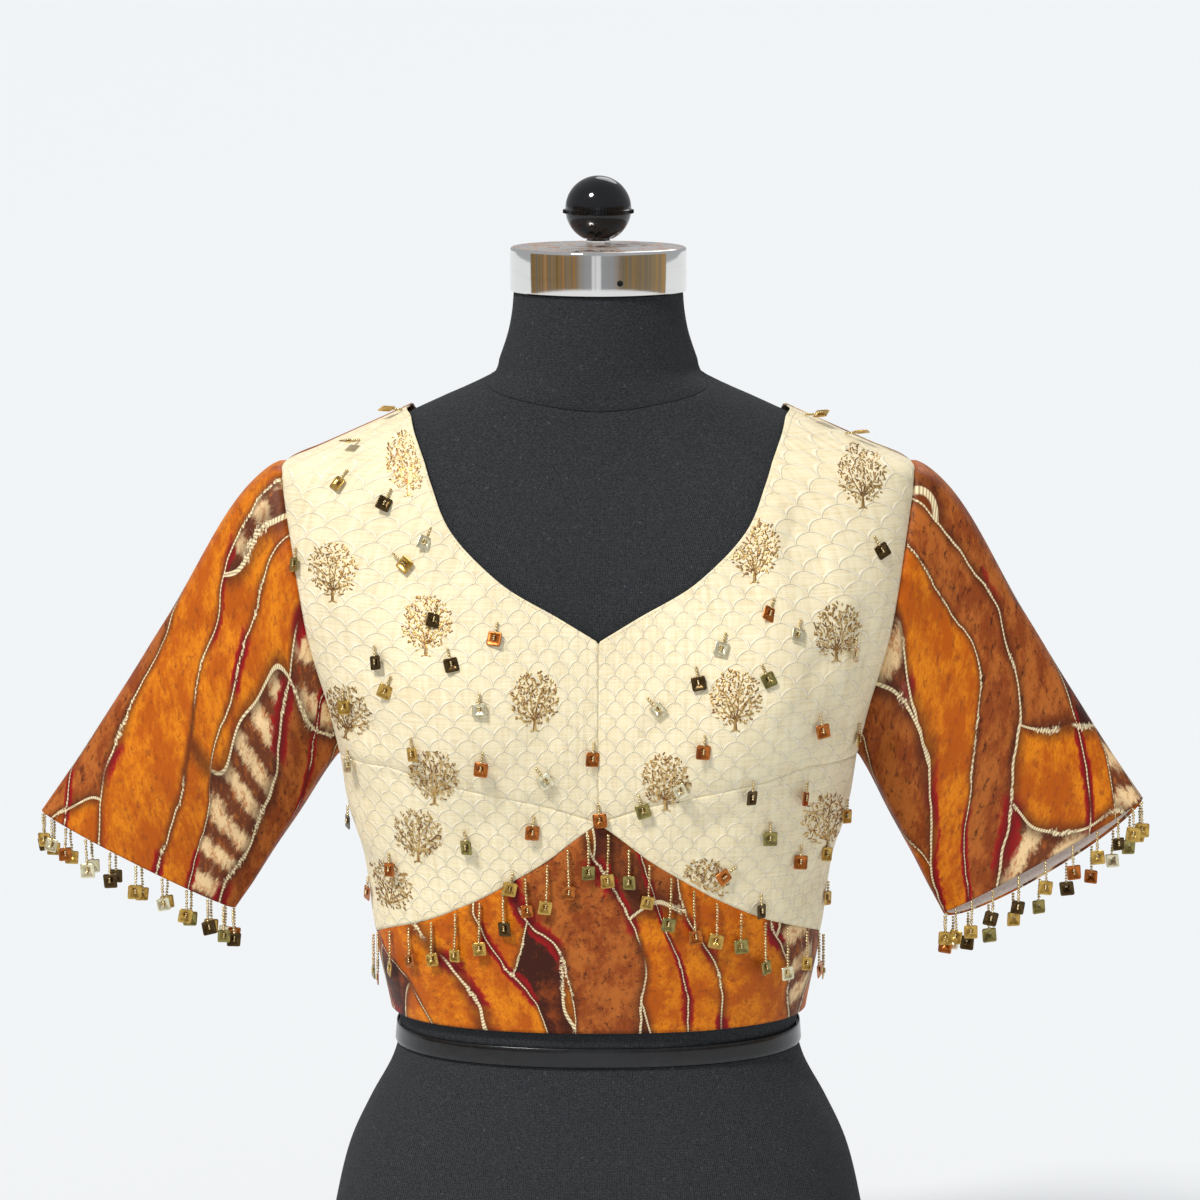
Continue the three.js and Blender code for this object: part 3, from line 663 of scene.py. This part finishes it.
# a small dished pin hole in the cap's side: radius and distance out
HOLE_ANGLE, HOLE_HEIGHT, HOLE_SEGMENTS = -QUARTER + 0.245, 723, 24
HOLE_DISH = [(1.9, 0.02), (1.5, 0.16), (1.15, 0.05), (0.5, 0.03)]
hole_out = np.array([math.cos(HOLE_ANGLE), math.sin(HOLE_ANGLE), 0])
hole_side = np.array([-hole_out[1], hole_out[0], 0])
hole_middle = np.array([0, 0, HOLE_HEIGHT]) + hole_out * CAP_RADIUS
hole_points = [hole_middle + hole_out * out + hole_side * r * math.cos(a) + [0, 0, r * math.sin(a)]
               for r, out in HOLE_DISH for a in circle(HOLE_SEGMENTS)]
hole_faces = list(grid_faces(len(HOLE_DISH), HOLE_SEGMENTS, ring=True))
hole_faces.append(range(len(hole_points) - HOLE_SEGMENTS, len(hole_points)))
finish_piece(make_mesh("cap_pin_hole", hole_points, hole_faces), [], "form_chrome", knob_gloss)

nut_outline = [(7.4, 742), (7.6, 742.6), (7.5, 745.2), (6.6, 746.2), (4, 746.3)]
turned("cap_nut_plate", nut_outline, 6, "form_cap_nut", "form_chrome", chrome)

# the ball knob, with a knurled belt a little below its middle
BALL_MIDDLE, BALL_RADIUS, BELT, BELT_OUT, BELT_HALF, KNURLS = 764.4, 20, 762.9, 21, 1.1, 72
knob_outline = arc(0, BALL_MIDDLE, BALL_RADIUS, -1.1, -0.155, 16)
knob_outline += [(20.3, BELT - 1.5), (BELT_OUT, BELT - BELT_HALF)]
knob_outline += [(BELT_OUT, BELT + BELT_HALF), (20.3, BELT + 1.5)]
knob_outline += arc(0, BALL_MIDDLE, BALL_RADIUS, 0.01, 1.53, 26)
turned("ball_knob_gloss", knob_outline, 96, "form_ball_knob", "form_knob", knob_gloss)

knurl_points, knurl_faces = [], []
for k in range(KNURLS):
    for z in (BELT - 1.05, BELT + 1.05):
        for r, turn_by in ((20.9, -0.018), (21.45, 0.0), (20.9, 0.018)):
            a = 2 * math.pi * k / KNURLS + turn_by
            knurl_points.append((r * math.cos(a), r * math.sin(a), z))
    wedge = [(0, 1, 4, 3), (1, 2, 5, 4), (0, 2, 1), (3, 4, 5), (0, 3, 5, 2)]
    knurl_faces += [[6 * k + i for i in face] for face in wedge]
finish_piece(make_mesh("knob_knurls", knurl_points, knurl_faces), [], "form_knob", knob_gloss, False)

# ---------------- the blouse's cloth
SIDES = (("left", 1), ("right", -1))
cloth = {}
# the share of a panel's edge that its first stretch takes
V_SHARE, CENTRE_BACK_SHARE, SIDE_SHARE = 0.42, 0.5, 0.42


def cup_spots(columns, rows):
    u = np.linspace(0.004, 1, columns + 1)
    v = np.linspace(0, 1, rows + 1)[:, None, None]
    low, high = band_seam(u)[None], bust_seam(u)[None]
    return low + (high - low) * v


def band_spots(columns, rows):
    half = band_seam(np.linspace(0, 1, columns + 1))
    other = half[1:].copy()
    other[:, 0] = math.pi - other[:, 0]
    top = np.concatenate([half[::-1], other])
    v = np.linspace(0, 1, rows + 1)[:, None]
    z = HEM + (top[:, 1][None] - HEM) * v
    return np.stack([top[:, 0][None] + 0 * z, z], -1)


centre_back = straight([-QUARTER, HEM], [-QUARTER, BACK_NECK_LOW])
side_seam = straight([0, HEM], [0, UNDERARM])
for side, sign in SIDES:
    inner, outer = joined(centre_front, front_neckline, V_SHARE), front_armhole
    spots = patch(bust_seam, shoulder_seam, inner, outer, 84, 120)
    body_panel(f"front_upper_{side}", spots, ("bottom", "outer", "top"), sign)
    body_panel(f"front_cup_{side}", cup_spots(90, 50), ("bottom", "top", "outer"), sign)
    inner = joined(centre_back, back_neckline, CENTRE_BACK_SHARE)
    outer = joined(side_seam, back_armhole, SIDE_SHARE)
    spots = patch(straight([-QUARTER, HEM], [0, HEM]), shoulder_seam, inner, outer, 84, 140)
    body_panel(f"back_{side}", spots, ("outer", "top"), sign)
body_panel("front_band", band_spots(70, 40), ("top", "inner", "outer"), 1, groove=0.8)

# turn: place round the sleeve, 0 at its top, positive to the back; share of its length, depth, length, width
SLEEVE_CREASES = [
    [-0.35, 0.22, -3.2, 0.22, 0.16], [-0.62, 0.34, 2.4, 0.20, 0.13], [-0.80, 0.16, -2.6, 0.12, 0.12],
    [-0.5, 0.62, 1.6, 0.24, 0.16], [-0.25, 0.70, -1.5, 0.18, 0.12], [-0.72, 0.74, -1.3, 0.15, 0.13],
    [0.30, 0.25, -2.8, 0.22, 0.15], [0.55, 0.40, 2.2, 0.2, 0.14], [0.75, 0.22, -2.4, 0.14, 0.12],
    [0.42, 0.72, -1.8, 0.2, 0.16], [0.68, 0.66, 1.4, 0.18, 0.12], [-0.12, 0.42, 1.3, 0.16, 0.1],
]
RING = 160
AROUND = np.linspace(-1, 1, RING + 1)[:-1]  # -1 and 1 are the underarm; negative is the front


def armhole_loop():
    """Points round the armhole's seam: turn 0 is the shoulder tip, -1 or 1 the underarm."""
    front = front_armhole(1 - np.abs(AROUND))
    back = back_armhole(1 - np.abs(AROUND))
    spot = np.where((AROUND < 0)[:, None], front, back)
    return on_skin(spot[:, 0], spot[:, 1], 0), skin_normal(spot[:, 0], spot[:, 1])


def sleeve_grid(cuff, shares, inward=0.0):
    """Points of a sleeve in rings, at shares of the way from the armhole to the cuff."""
    along = np.asarray(shares)[:, None, None]
    loop, loop_normal = armhole_loop()
    tuck = 2.6 * np.exp(-along / 0.010)
    start = loop[None] + loop_normal[None] * (SLEEVE_STAND - 0.4 - tuck)
    up, side = np.cos(math.pi * AROUND), np.sin(math.pi * AROUND)
    t = (1 + up) / 2
    end = np.stack([
        cuff["inner"][0] + (cuff["outer"][0] - cuff["inner"][0]) * t,
        np.where(side < 0, cuff["front"], cuff["back"]) * side,
        cuff["inner"][1] + (cuff["outer"][1] - cuff["inner"][1]) * t - np.maximum(side, 0) * cuff["drop"],
    ], -1)[None]
    outer = np.array([cuff["outer"][0], 0, cuff["outer"][1]])
    axis = unit((outer - start) * [1, 0, 1])
    bulge = CAP_RISE * along / CAP_PLACE * np.exp(1 - along / CAP_PLACE) * (1 - along)
    lift = np.maximum(up, 0)[None, :, None] * bulge
    upward = np.stack([-axis[..., 2], 0 * axis[..., 0], axis[..., 0]], -1)
    grid = start + (end - start) * along + upward * lift
    down = np.gradient(grid, axis=0)
    around = (np.roll(grid, -1, 1) - np.roll(grid, 1, 1))
    normal = unit(np.cross(around, down))
    middle = grid.mean(1, keepdims=True)
    normal = np.where(((grid - middle) * normal).sum(-1, keepdims=True) < 0, -normal, normal)
    relief = np.zeros(grid.shape[:2])
    for place, part, depth, length, width in SLEEVE_CREASES:
        lean = (along[..., 0] - part) / length
        off = (AROUND[None] - place - lean * 0.10) / width
        relief += depth * np.exp(-lean ** 2 * 2 - off ** 2 * 4.5)
    relief += 0.5 * np.sin(AROUND[None] * 9 + along[..., 0] * 5) * np.sin(along[..., 0] * 8 + 1)
    fade = np.clip(along[..., 0] * 9, 0, 1)
    cuff_keep = 1 - 0.7 * np.clip((along[..., 0] - 0.85) / 0.15, 0, 1)
    offset = 0.75 + relief * fade * cuff_keep - inward
    return grid + normal * offset[..., None]


def sleeve_shell(key, grid, run, sign, thickness):
    """A shell from a sleeve's rings, cut open along the underarm; run places its pattern along the sleeve."""
    closed = np.concatenate([grid, grid[:, :1]], 1)
    around = np.append(AROUND, 1.0)[None] * 0.15 + 0 * run
    uv = np.stack([around, run], -1)
    cloth[key] = shell(f"cloth_{key}", closed, uv, box_middle, thickness, mirror=sign < 0)


SLEEVE_SHARES = np.concatenate([np.linspace(0, 0.04, 4), np.linspace(0.055, 0.96, 74),
                                np.linspace(0.97, 1, 5)])
LINING_SHARES = np.concatenate([[0.79], np.linspace(0.8, 0.992, 14)])
TURNS = np.append(AROUND, 1.0)[None]
cuff_edges = {}
for side, sign in SIDES:
    grid = sleeve_grid(CUFFS[side], SLEEVE_SHARES)
    cuff_edges[side] = grid[-1] * [sign, 1, 1]
    run = 0.9 - SLEEVE_SHARES[:, None] * (0.19 + 0.05 * np.cos(TURNS * math.pi))
    sleeve_shell(f"sleeve_{side}", grid, run, sign, 1.1)
    grid = sleeve_grid(CUFFS[side], LINING_SHARES, inward=2.2)[1:]
    run = LINING_SHARES[1:, None] * 0.2 + 0 * TURNS
    sleeve_shell(f"sleeve_lining_{side}", grid, run, sign, 0.7)

FINISH = {"front_upper": ("cream_cloth", cream), "front_cup": ("cream_cloth", cream),
          "front_band": ("printed_cloth", printed), "back": ("printed_cloth", printed),
          "sleeve": ("printed_cloth", printed), "sleeve_lining": ("lining_cloth", lining)}
for key, obj in cloth.items():
    apply_modifiers(obj)
    finish_piece(obj, [key], *FINISH[key.removesuffix("_left").removesuffix("_right")])


# ---------------- small things as joined meshes
class Heap:
    """Collects many small shapes and makes them one mesh."""

    def __init__(self):
        self.points, self.faces, self.slots, self.count = [], [], [], 0

    def add(self, points, faces, slot=0):
        self.points.append(np.asarray(points))
        self.faces += [tuple(i + self.count for i in face) for face in faces]
        self.slots += [slot] * len(faces)
        self.count += len(points)

    def make(self, name, materials, node_names, slot):
        obj = make_mesh(name, np.concatenate(self.points), self.faces)
        finish_piece(obj, node_names, slot, materials[0])
        for material in materials[1:]:
            obj.data.materials.append(material)
        obj.data.polygons.foreach_set("material_index", self.slots)


def ball(columns=7, rows=5):
    points = [(0, 0, 1)]
    for i in range(1, rows):
        a = math.pi * i / rows
        out, up = math.sin(a), math.cos(a)
        points += [(out * math.cos(b), out * math.sin(b), up) for b in circle(columns)]
    points.append((0, 0, -1))
    faces = []
    for j in range(columns):
        k = (j + 1) % columns
        faces.append((0, 1 + j, 1 + k))
        for i in range(rows - 2):
            a = 1 + i * columns
            faces.append((a + j, a + columns + j, a + columns + k, a + k))
        a = 1 + (rows - 2) * columns
        faces.append((a + j, len(points) - 1, a + k))
    return np.array(points), faces


BALL, BALL_FACES = ball()
BEAD, BEAD_STEP = 1.05, 1.75


def add_bead(heap, centre, size=BEAD, slot=0):
    heap.add(BALL * [size, size, size * 0.85] + centre, BALL_FACES, slot)


def plate_shape(half=4.5, corner=1.2, hole=0.8, thick=0.35):
    """A square plate with round corners and a small hole near its middle, its rim softened."""
    outline = []
    for k in range(4):
        base = QUARTER * k + QUARTER / 2
        out = (half - corner) * math.sqrt(2)
        x, y = out * math.cos(base), out * math.sin(base)
        outline += [(x + corner * math.cos(base + a), y + corner * math.sin(base + a))
                    for a in (-0.7, -0.25, 0.25, 0.7)]
    count = len(outline)
    turn = [math.atan2(y, x) for x, y in outline]
    rim = [(0.87, thick), (0.93, thick), (1, thick * 0.3), (1, -thick * 0.3), (0.93, -thick), (0.87, -thick)]
    rings = [[(hole * math.cos(a), hole * math.sin(a) + 1.0, thick) for a in turn]]
    rings += [[(x * grow, y * grow, z) for x, y in outline] for grow, z in rim]
    rings.append([(hole * math.cos(a), hole * math.sin(a) + 1.0, -thick) for a in turn])
    points = np.array([p for ring in rings for p in ring])
    faces = []
    for i in range(len(rings)):
        a, b = i * count, ((i + 1) % len(rings)) * count
        faces += [(a + j, a + (j + 1) % count, b + (j + 1) % count, b + j)[::-1] for j in range(count)]
    return points, faces


PLATE, PLATE_FACES = plate_shape()


def add_plate(heap, top, down, face, slot, size=1.0):
    """Hangs a plate from a point: down is the way it hangs and face the way it looks."""
    down = unit(np.array(down, float))
    face = unit(np.array(face, float) - down * np.dot(face, down))
    across = np.cross(face, down)
    points = PLATE * size
    middle = np.array(top) + down * 3.6 * size
    placed = middle + points[:, :1] * across - points[:, 1:2] * down + points[:, 2:3] * face
    heap.add(placed, PLATE_FACES, slot)
    for step in (-0.6, 0.5, 1.6):
        add_bead(heap, middle + face * 0.75 - down * step, 0.75, 0)


def add_string(heap, top, reach, face, sway):
    """A hanging string of beads that ends in a plate."""
    count = int(reach / BEAD_STEP)
    across = unit(np.cross(face, [0, 0, 1.0]))
    for i in range(count):
        t = (i + 0.5) / count
        centre = top + [0, 0, -reach * t] + across * (sway * t * t + rng.uniform(-0.15, 0.15))
        add_bead(heap, centre, BEAD * rng.uniform(0.85, 1.08))
    end = top + [0, 0, -reach] + across * sway
    tilt = across * (rng.uniform(-0.25, 0.25) + sway * 0.08)
    look = face + across * rng.uniform(-0.5, 0.5)
    finish = 1 + rng.choice([0, 0, 0, 1, 2, 3, 4])
    add_plate(heap, end, np.array([0, 0, -1.0]) + tilt, look, finish, rng.uniform(0.86, 1.0))


band_fringe = Heap()
for sign in (1, -1):
    for k in range(12):
        angle, z = band_seam(np.array((k + 0.5) / 12.2))
        if sign < 0:
            angle = math.pi - angle
        point = on_skin(angle, z - 1.5, CLOTH_OUT + 1.6)
        low = on_skin(angle, z - 22, CLOTH_OUT + 1.9)
        face = skin_normal(angle, z) * [1, 1, 0]
        outward = max(np.linalg.norm(low[:2]) - np.linalg.norm(point[:2]), 0)
        point = point + unit(face) * outward
        add_string(band_fringe, point, rng.choice([17, 20, 23, 25]), unit(face), rng.uniform(-1.0, 1.0))
band_fringe.make("band_fringe_beads", TRIM, ["band_fringe"], "fringe")

for side, sign in SIDES:
    heap = Heap()
    edge = cuff_edges[side]
    for place in np.concatenate([np.linspace(0.06, 0.94, 11), np.linspace(-0.94, -0.06, 11)]):
        j = int(round((place + 1) / 2 * RING)) % RING
        face = np.array([0, math.copysign(1.0, place), 0])
        top = edge[j] + face * 0.3 - [0, 0, 0.6]
        add_string(heap, top, rng.choice([13, 14.5, 16]), face, rng.uniform(-0.8, 0.8))
    heap.make(f"cuff_fringe_beads_{side}", TRIM, [f"cuff_fringe_{side}"], "fringe")

# The small dangles of the cream fronts, staggered: distance from the middle, height, lean, finish.
DANGLES = {
    "left": [[150, 633, .1, 0], [176, 622, .1, 0], [163, 568, -.5, 2], [103, 535, -.4, 3], [118, 523, .3, 4],
             [95, 498, -.4, 1], [58, 497, .2, 2], [75, 516, .3, 4], [128, 466, .2, 3], [152, 455, 0, 0],
             [63, 458, .1, 3], [90, 430, .1, 2], [121, 425, .2, 3], [100, 402, 0, 1], [118, 384, .1, 3],
             [30, 479, .9, 4], [24, 421, -.3, 1], [80, 375, 1.4, 3], [95, 355, 0, 2], [134, 385, .2, 0],
             [140, 352, .1, 0], [44, 433, .6, 4], [150, 510, .1, 4], [146, 405, .1, 0]],
    "right": [[133, 636, .2, 0], [150, 620, .1, 0], [152, 605, -.5, 0], [125, 596, .3, 2], [178, 560, .1, 1],
              [121, 560, 1.3, 0], [95, 532, .1, 2], [60, 522, .2, 3], [130, 507, .2, 2], [88, 507, .3, 2],
              [120, 490, -.4, 0], [70, 482, 0, 4], [148, 478, .1, 0], [108, 455, .1, 0], [68, 448, .1, 3],
              [37, 438, .7, 4], [146, 440, -.1, 4], [78, 398, .1, 1], [38, 408, .1, 3], [3, 452, .1, 3],
              [0, 415, .1, 3], [148, 400, .1, 2], [122, 378, .1, 3], [50, 372, .2, 0], [136, 355, .1, 3],
              [100, 575, -.3, 4]],
}
SHOULDER_SLOPE = 618  # above this height the dangles stand off the cloth
for side, sign in SIDES:
    heap = Heap()
    for x, z, lean, finish in DANGLES[side]:
        angle = float(angle_at(min(x, float(section(WIDE, z)) * 0.985), z, 1))
        angle = math.pi - angle if sign < 0 else angle
        normal = skin_normal(angle, z)
        flat_face = unit(normal if normal[2] > 0 else normal * [1, 1, 0.25])
        across = unit(np.cross(flat_face, [0, 0, 1.0]))
        fall = np.array([0, 0, -1.0]) - flat_face * -flat_face[2]
        lift_off = 0.6 if z > SHOULDER_SLOPE else rng.uniform(0.02, 0.12)
        hang = unit(unit(fall) + across * lean * rng.choice([-1, 1]) + flat_face * lift_off)
        knot = on_skin(angle, z + 4, CLOTH_OUT + 1.2)
        for i in range(4):
            add_bead(heap, knot + hang * i * BEAD_STEP, 0.98)
        look = flat_face + across * rng.uniform(-0.5, 0.5)
        add_plate(heap, knot + hang * 6.2, hang, look, 1 + finish, 0.95)
    heap.make(f"front_dangles_{side}", TRIM, [], "fringe")

# ---------------- embroidery and top stitching
THREAD = np.array([[0, -1, 0], [0, 1, 0], [1, 1, 0], [1, -1, 0], [0.2, 0, 1], [0.8, 0, 1]])
THREAD_FACES = [(0, 1, 4), (1, 2, 5, 4), (2, 3, 5), (3, 0, 4, 5)]


def thread(a, b, normal, width, rise):
    """One stitch: a low ridge from a to b."""
    across = unit(np.cross(normal, b - a)) * width / 2
    return a + (b - a) * THREAD[:, :1] + across * THREAD[:, 1:2] + normal * rise * THREAD[:, 2:3]


LEAVES = 250


def tree_lines():
    """A little embroidered tree, about 34 mm tall: trunk, boughs and a crown full of leaf stitches."""
    lines = [((-0.7, -17), (-0.3, -10)), ((0.0, -17), (0.0, -10)), ((0.7, -17), (0.3, -10)),
             ((-2.6, -17.2), (-0.3, -16.2)), ((0.3, -16.2), (2.6, -17.3))]
    for turn, length in ((-1.0, 11), (-0.55, 16), (-0.15, 21), (0.25, 21), (0.65, 15.5), (1.05, 11)):
        a, point = turn, (0.0, -10.5)
        for part in range(3):
            step = length / 3
            end = (point[0] + step * math.sin(a), point[1] + step * math.cos(a))
            lines.append((point, end))
            point, a = end, a + rng.uniform(-0.35, 0.35)
    for k in range(LEAVES):
        r, a = math.sqrt((k + 0.5) / LEAVES), k * 2.39996 + rng.uniform(-0.25, 0.25)
        x, z = 13.8 * r * math.sin(a), 1.5 + 15.5 * r * math.cos(a)
        lean = math.atan2(x, z + 16) + rng.uniform(-1.3, 1.3)
        reach = rng.uniform(1.2, 2.6)
        lines.append(((x, z), (x + reach * math.sin(lean), z + reach * math.cos(lean))))
    return lines


TREES = {
    "left": [[40, 433], [80, 482], [140, 518], [92, 566], [156, 606], [134, 400], [62, 367]],
    "right": [[38, 481], [100, 524], [112, 614], [156, 552], [148, 468], [96, 435], [106, 396], [124, 358],
              [168, 640]],
}


def on_cream(spots, margin=2.2):
    """Whether spots, as distance from the middle and height, lie on the cream front inside its seams."""
    x, z = np.abs(spots[:, 0]), spots[:, 1]
    seam, armhole, neck = np.array(BAND_SEAM), np.array(ARMHOLE), np.array([[0, FRONT_V]] + FRONT_NECK)
    side_seam = section(WIDE, z) * 0.985
    in_armhole = np.minimum(np.interp(z, armhole[:, 1], armhole[:, 0]), side_seam)
    outer = np.where(z > UNDERARM, in_armhole, side_seam)
    inner = np.where(z > FRONT_V, np.interp(z, neck[:, 1], neck[:, 0]), -1)
    low = np.interp(x, seam[:, 0], seam[:, 1])
    return (z > low + margin) & (x < outer - margin) & (x > inner + margin)


def add_stitches(heap, starts, ends, sign, width, rise):
    """Threads laid over the fronts, given by their ends' distance from the middle and height."""
    starts, ends = np.array(starts), np.array(ends)
    kept = on_cream(starts) & on_cream(ends)
    placed = []
    for spots in (starts[kept], ends[kept]):
        angle = angle_at(spots[:, 0], spots[:, 1], 1)
        angle = np.where(spots[:, 0] < 0, math.pi - angle_at(-spots[:, 0], spots[:, 1], 1), angle)
        lift = body_relief(angle, spots[:, 1], sign)
        placed.append(on_skin(angle, spots[:, 1], CLOTH_OUT + 0.08 + lift))
        normal = skin_normal(angle, spots[:, 1])
    for k, (a, b) in enumerate(zip(*placed)):
        points = thread(a, b, normal[k], width, rise) * [sign, 1, 1]
        heap.add(points, [face[::sign] for face in THREAD_FACES], k % 3 // 2)


for side, sign in SIDES:
    heap = Heap()
    starts, ends = [], []
    for x, z in TREES[side]:
        for (x0, z0), (x1, z1) in tree_lines():
            starts.append((x + x0, z + z0))
            ends.append((x + x1, z + z1))
    add_stitches(heap, starts, ends, sign, 0.85, 0.45)
    heap.make(f"gold_trees_{side}", [stitch_gold, stitch_brown], [], "cream_cloth")

NECK_STITCHES = 100
for side, sign in SIDES:
    heap = Heap()
    for t in np.linspace(0, 1, NECK_STITCHES):
        pair = front_neckline(np.array([t, min(t + 0.62 / NECK_STITCHES, 1)])) + [0, -1.6]
        angles = pair[:, 0] if sign > 0 else math.pi - pair[:, 0]
        a, b = on_skin(angles, pair[:, 1], CLOTH_OUT + 0.15)
        if np.linalg.norm(b - a) > 0.3:
            heap.add(thread(a, b, skin_normal(angles[0], pair[0, 1]), 0.45, 0.3), THREAD_FACES)
    heap.make(f"neck_stitching_{side}", [stitch_cream], [], "cream_cloth")

# ---------------- what the cloth was cut to
def cut(key, width, length, held="stretched", carried=()):
    """Takes a panel's flat size, in metres, and works out the area of one of its two faces, which is not
    kept.
    """
    obj = cloth[key]
    obj.data.calc_loop_triangles()
    area = sum(t.area for t in obj.data.loop_triangles) / 2
    area = min(max(area, 0.31 * width * length), width * length)
    [bpy.data.objects[name] for name in carried]


for side, _ in SIDES:
    cut(f"front_upper_{side}", 0.225, 0.27, carried=[f"gold_trees_{side}"])
    cut(f"front_cup_{side}", 0.205, 0.12)
    cut(f"back_{side}", 0.24, 0.385)
    cut(f"sleeve_{side}", 0.46, 0.29, "hung", [f"cuff_fringe_beads_{side}"])
    cut(f"sleeve_lining_{side}", 0.33, 0.06, "hung")
cut("front_band", 0.40, 0.135, carried=["band_fringe_beads"])

# ---------------- floor, light and camera
FLOOR_HALF = 400000
floor_corners = [(-FLOOR_HALF, -FLOOR_HALF, 0), (FLOOR_HALF, -FLOOR_HALF, 0), (FLOOR_HALF, FLOOR_HALF, 0),
                 (-FLOOR_HALF, FLOOR_HALF, 0)]
floor = make_mesh("studio_floor", floor_corners, [(0, 1, 2, 3)])
floor.data.materials.append(Nodes("pale_floor", 0.9).finish((0.74, 0.76, 0.78)))

world = bpy.data.worlds.new("soft_room")
world.use_nodes = True
background = world.node_tree.nodes["Background"].inputs
background["Color"].default_value = (0.94, 0.965, 1.0, 1)
background["Strength"].default_value = 0.46
bpy.context.scene.world = world
bpy.context.scene.view_settings.view_transform = "Standard"

SCREEN_DISTANCE, SCREEN_TURN, SCREEN_HEIGHTS = 3300, 1.72, (5, 1150)


def mirror_screen():
    """A curved studio screen in banded browns. Only polished things mirror it; it is seen nowhere else."""
    angles = np.linspace(-SCREEN_TURN, SCREEN_TURN, 60)
    points = [(SCREEN_DISTANCE * math.sin(a), -SCREEN_DISTANCE * math.cos(a), z)
              for z in SCREEN_HEIGHTS for a in angles]
    screen = make_mesh("mirror_screen", points, grid_faces(2, len(angles)))
    n = Nodes("room_browns", 0.9, specular=0.1)
    x, y, _ = n.split(n.place(source="Object"))
    turn = n.math("ARCTAN2", x, y * -1.0)
    bands = n.noise(n.new("CombineXYZ", {0: turn * 2.9, 1: 4.0, 2: 2.0}), 1.0, 4, 0.7)
    browns = n.colours(bands, [
        (0.32, (0.03, 0.022, 0.015)), (0.42, (0.16, 0.10, 0.045)), (0.48, (0.42, 0.26, 0.10)),
        (0.53, (0.20, 0.19, 0.16)), (0.58, (0.46, 0.22, 0.05)), (0.68, (0.62, 0.52, 0.38)),
    ])
    off_middle = abs(turn) + (bands - 0.5) * 0.9
    silver = n.mixed(1.0 - n.step(off_middle, 0.25, 0.55), browns, (0.42, 0.42, 0.43))
    glare = 1.0 - n.step(off_middle, 0.03, 0.09)
    screen.data.materials.append(n.finish(n.mixed(glare, silver, (1.0, 1.0, 1.0))))
    screen.visible_camera = screen.visible_diffuse = screen.visible_shadow = False


mirror_screen()

TARGET = Vector((0.001, 0.0, 0.526))


def sun(name, place, strength, softness, colour=(1, 1, 1)):
    light = bpy.data.lights.new(name, "SUN")
    light.energy = strength
    light.angle = softness
    light.color = colour
    obj = bpy.data.objects.new(name, light)
    obj.rotation_euler = (-Vector(place)).to_track_quat("-Z", "Y").to_euler()
    bpy.context.scene.collection.objects.link(obj)


sun("key", (-0.95, -1.35, 1.95), 2.75, 0.20, (1.0, 0.985, 0.95))
sun("back_light", (0.6, 2.4, 2.0), 0.5, 0.5)

camera_data = bpy.data.cameras.new("camera")
camera_data.sensor_width = 36
DISTANCE, ELEVATION, FRAME_WIDTH = 3.0, math.radians(8), 0.732
camera_data.lens = 36 * DISTANCE / FRAME_WIDTH
camera = bpy.data.objects.new("camera", camera_data)
camera.location = TARGET + Vector((0, -math.cos(ELEVATION), math.sin(ELEVATION))) * DISTANCE
camera.rotation_euler = (TARGET - camera.location).to_track_quat("-Z", "Y").to_euler()
bpy.context.scene.collection.objects.link(camera)
bpy.context.scene.camera = camera
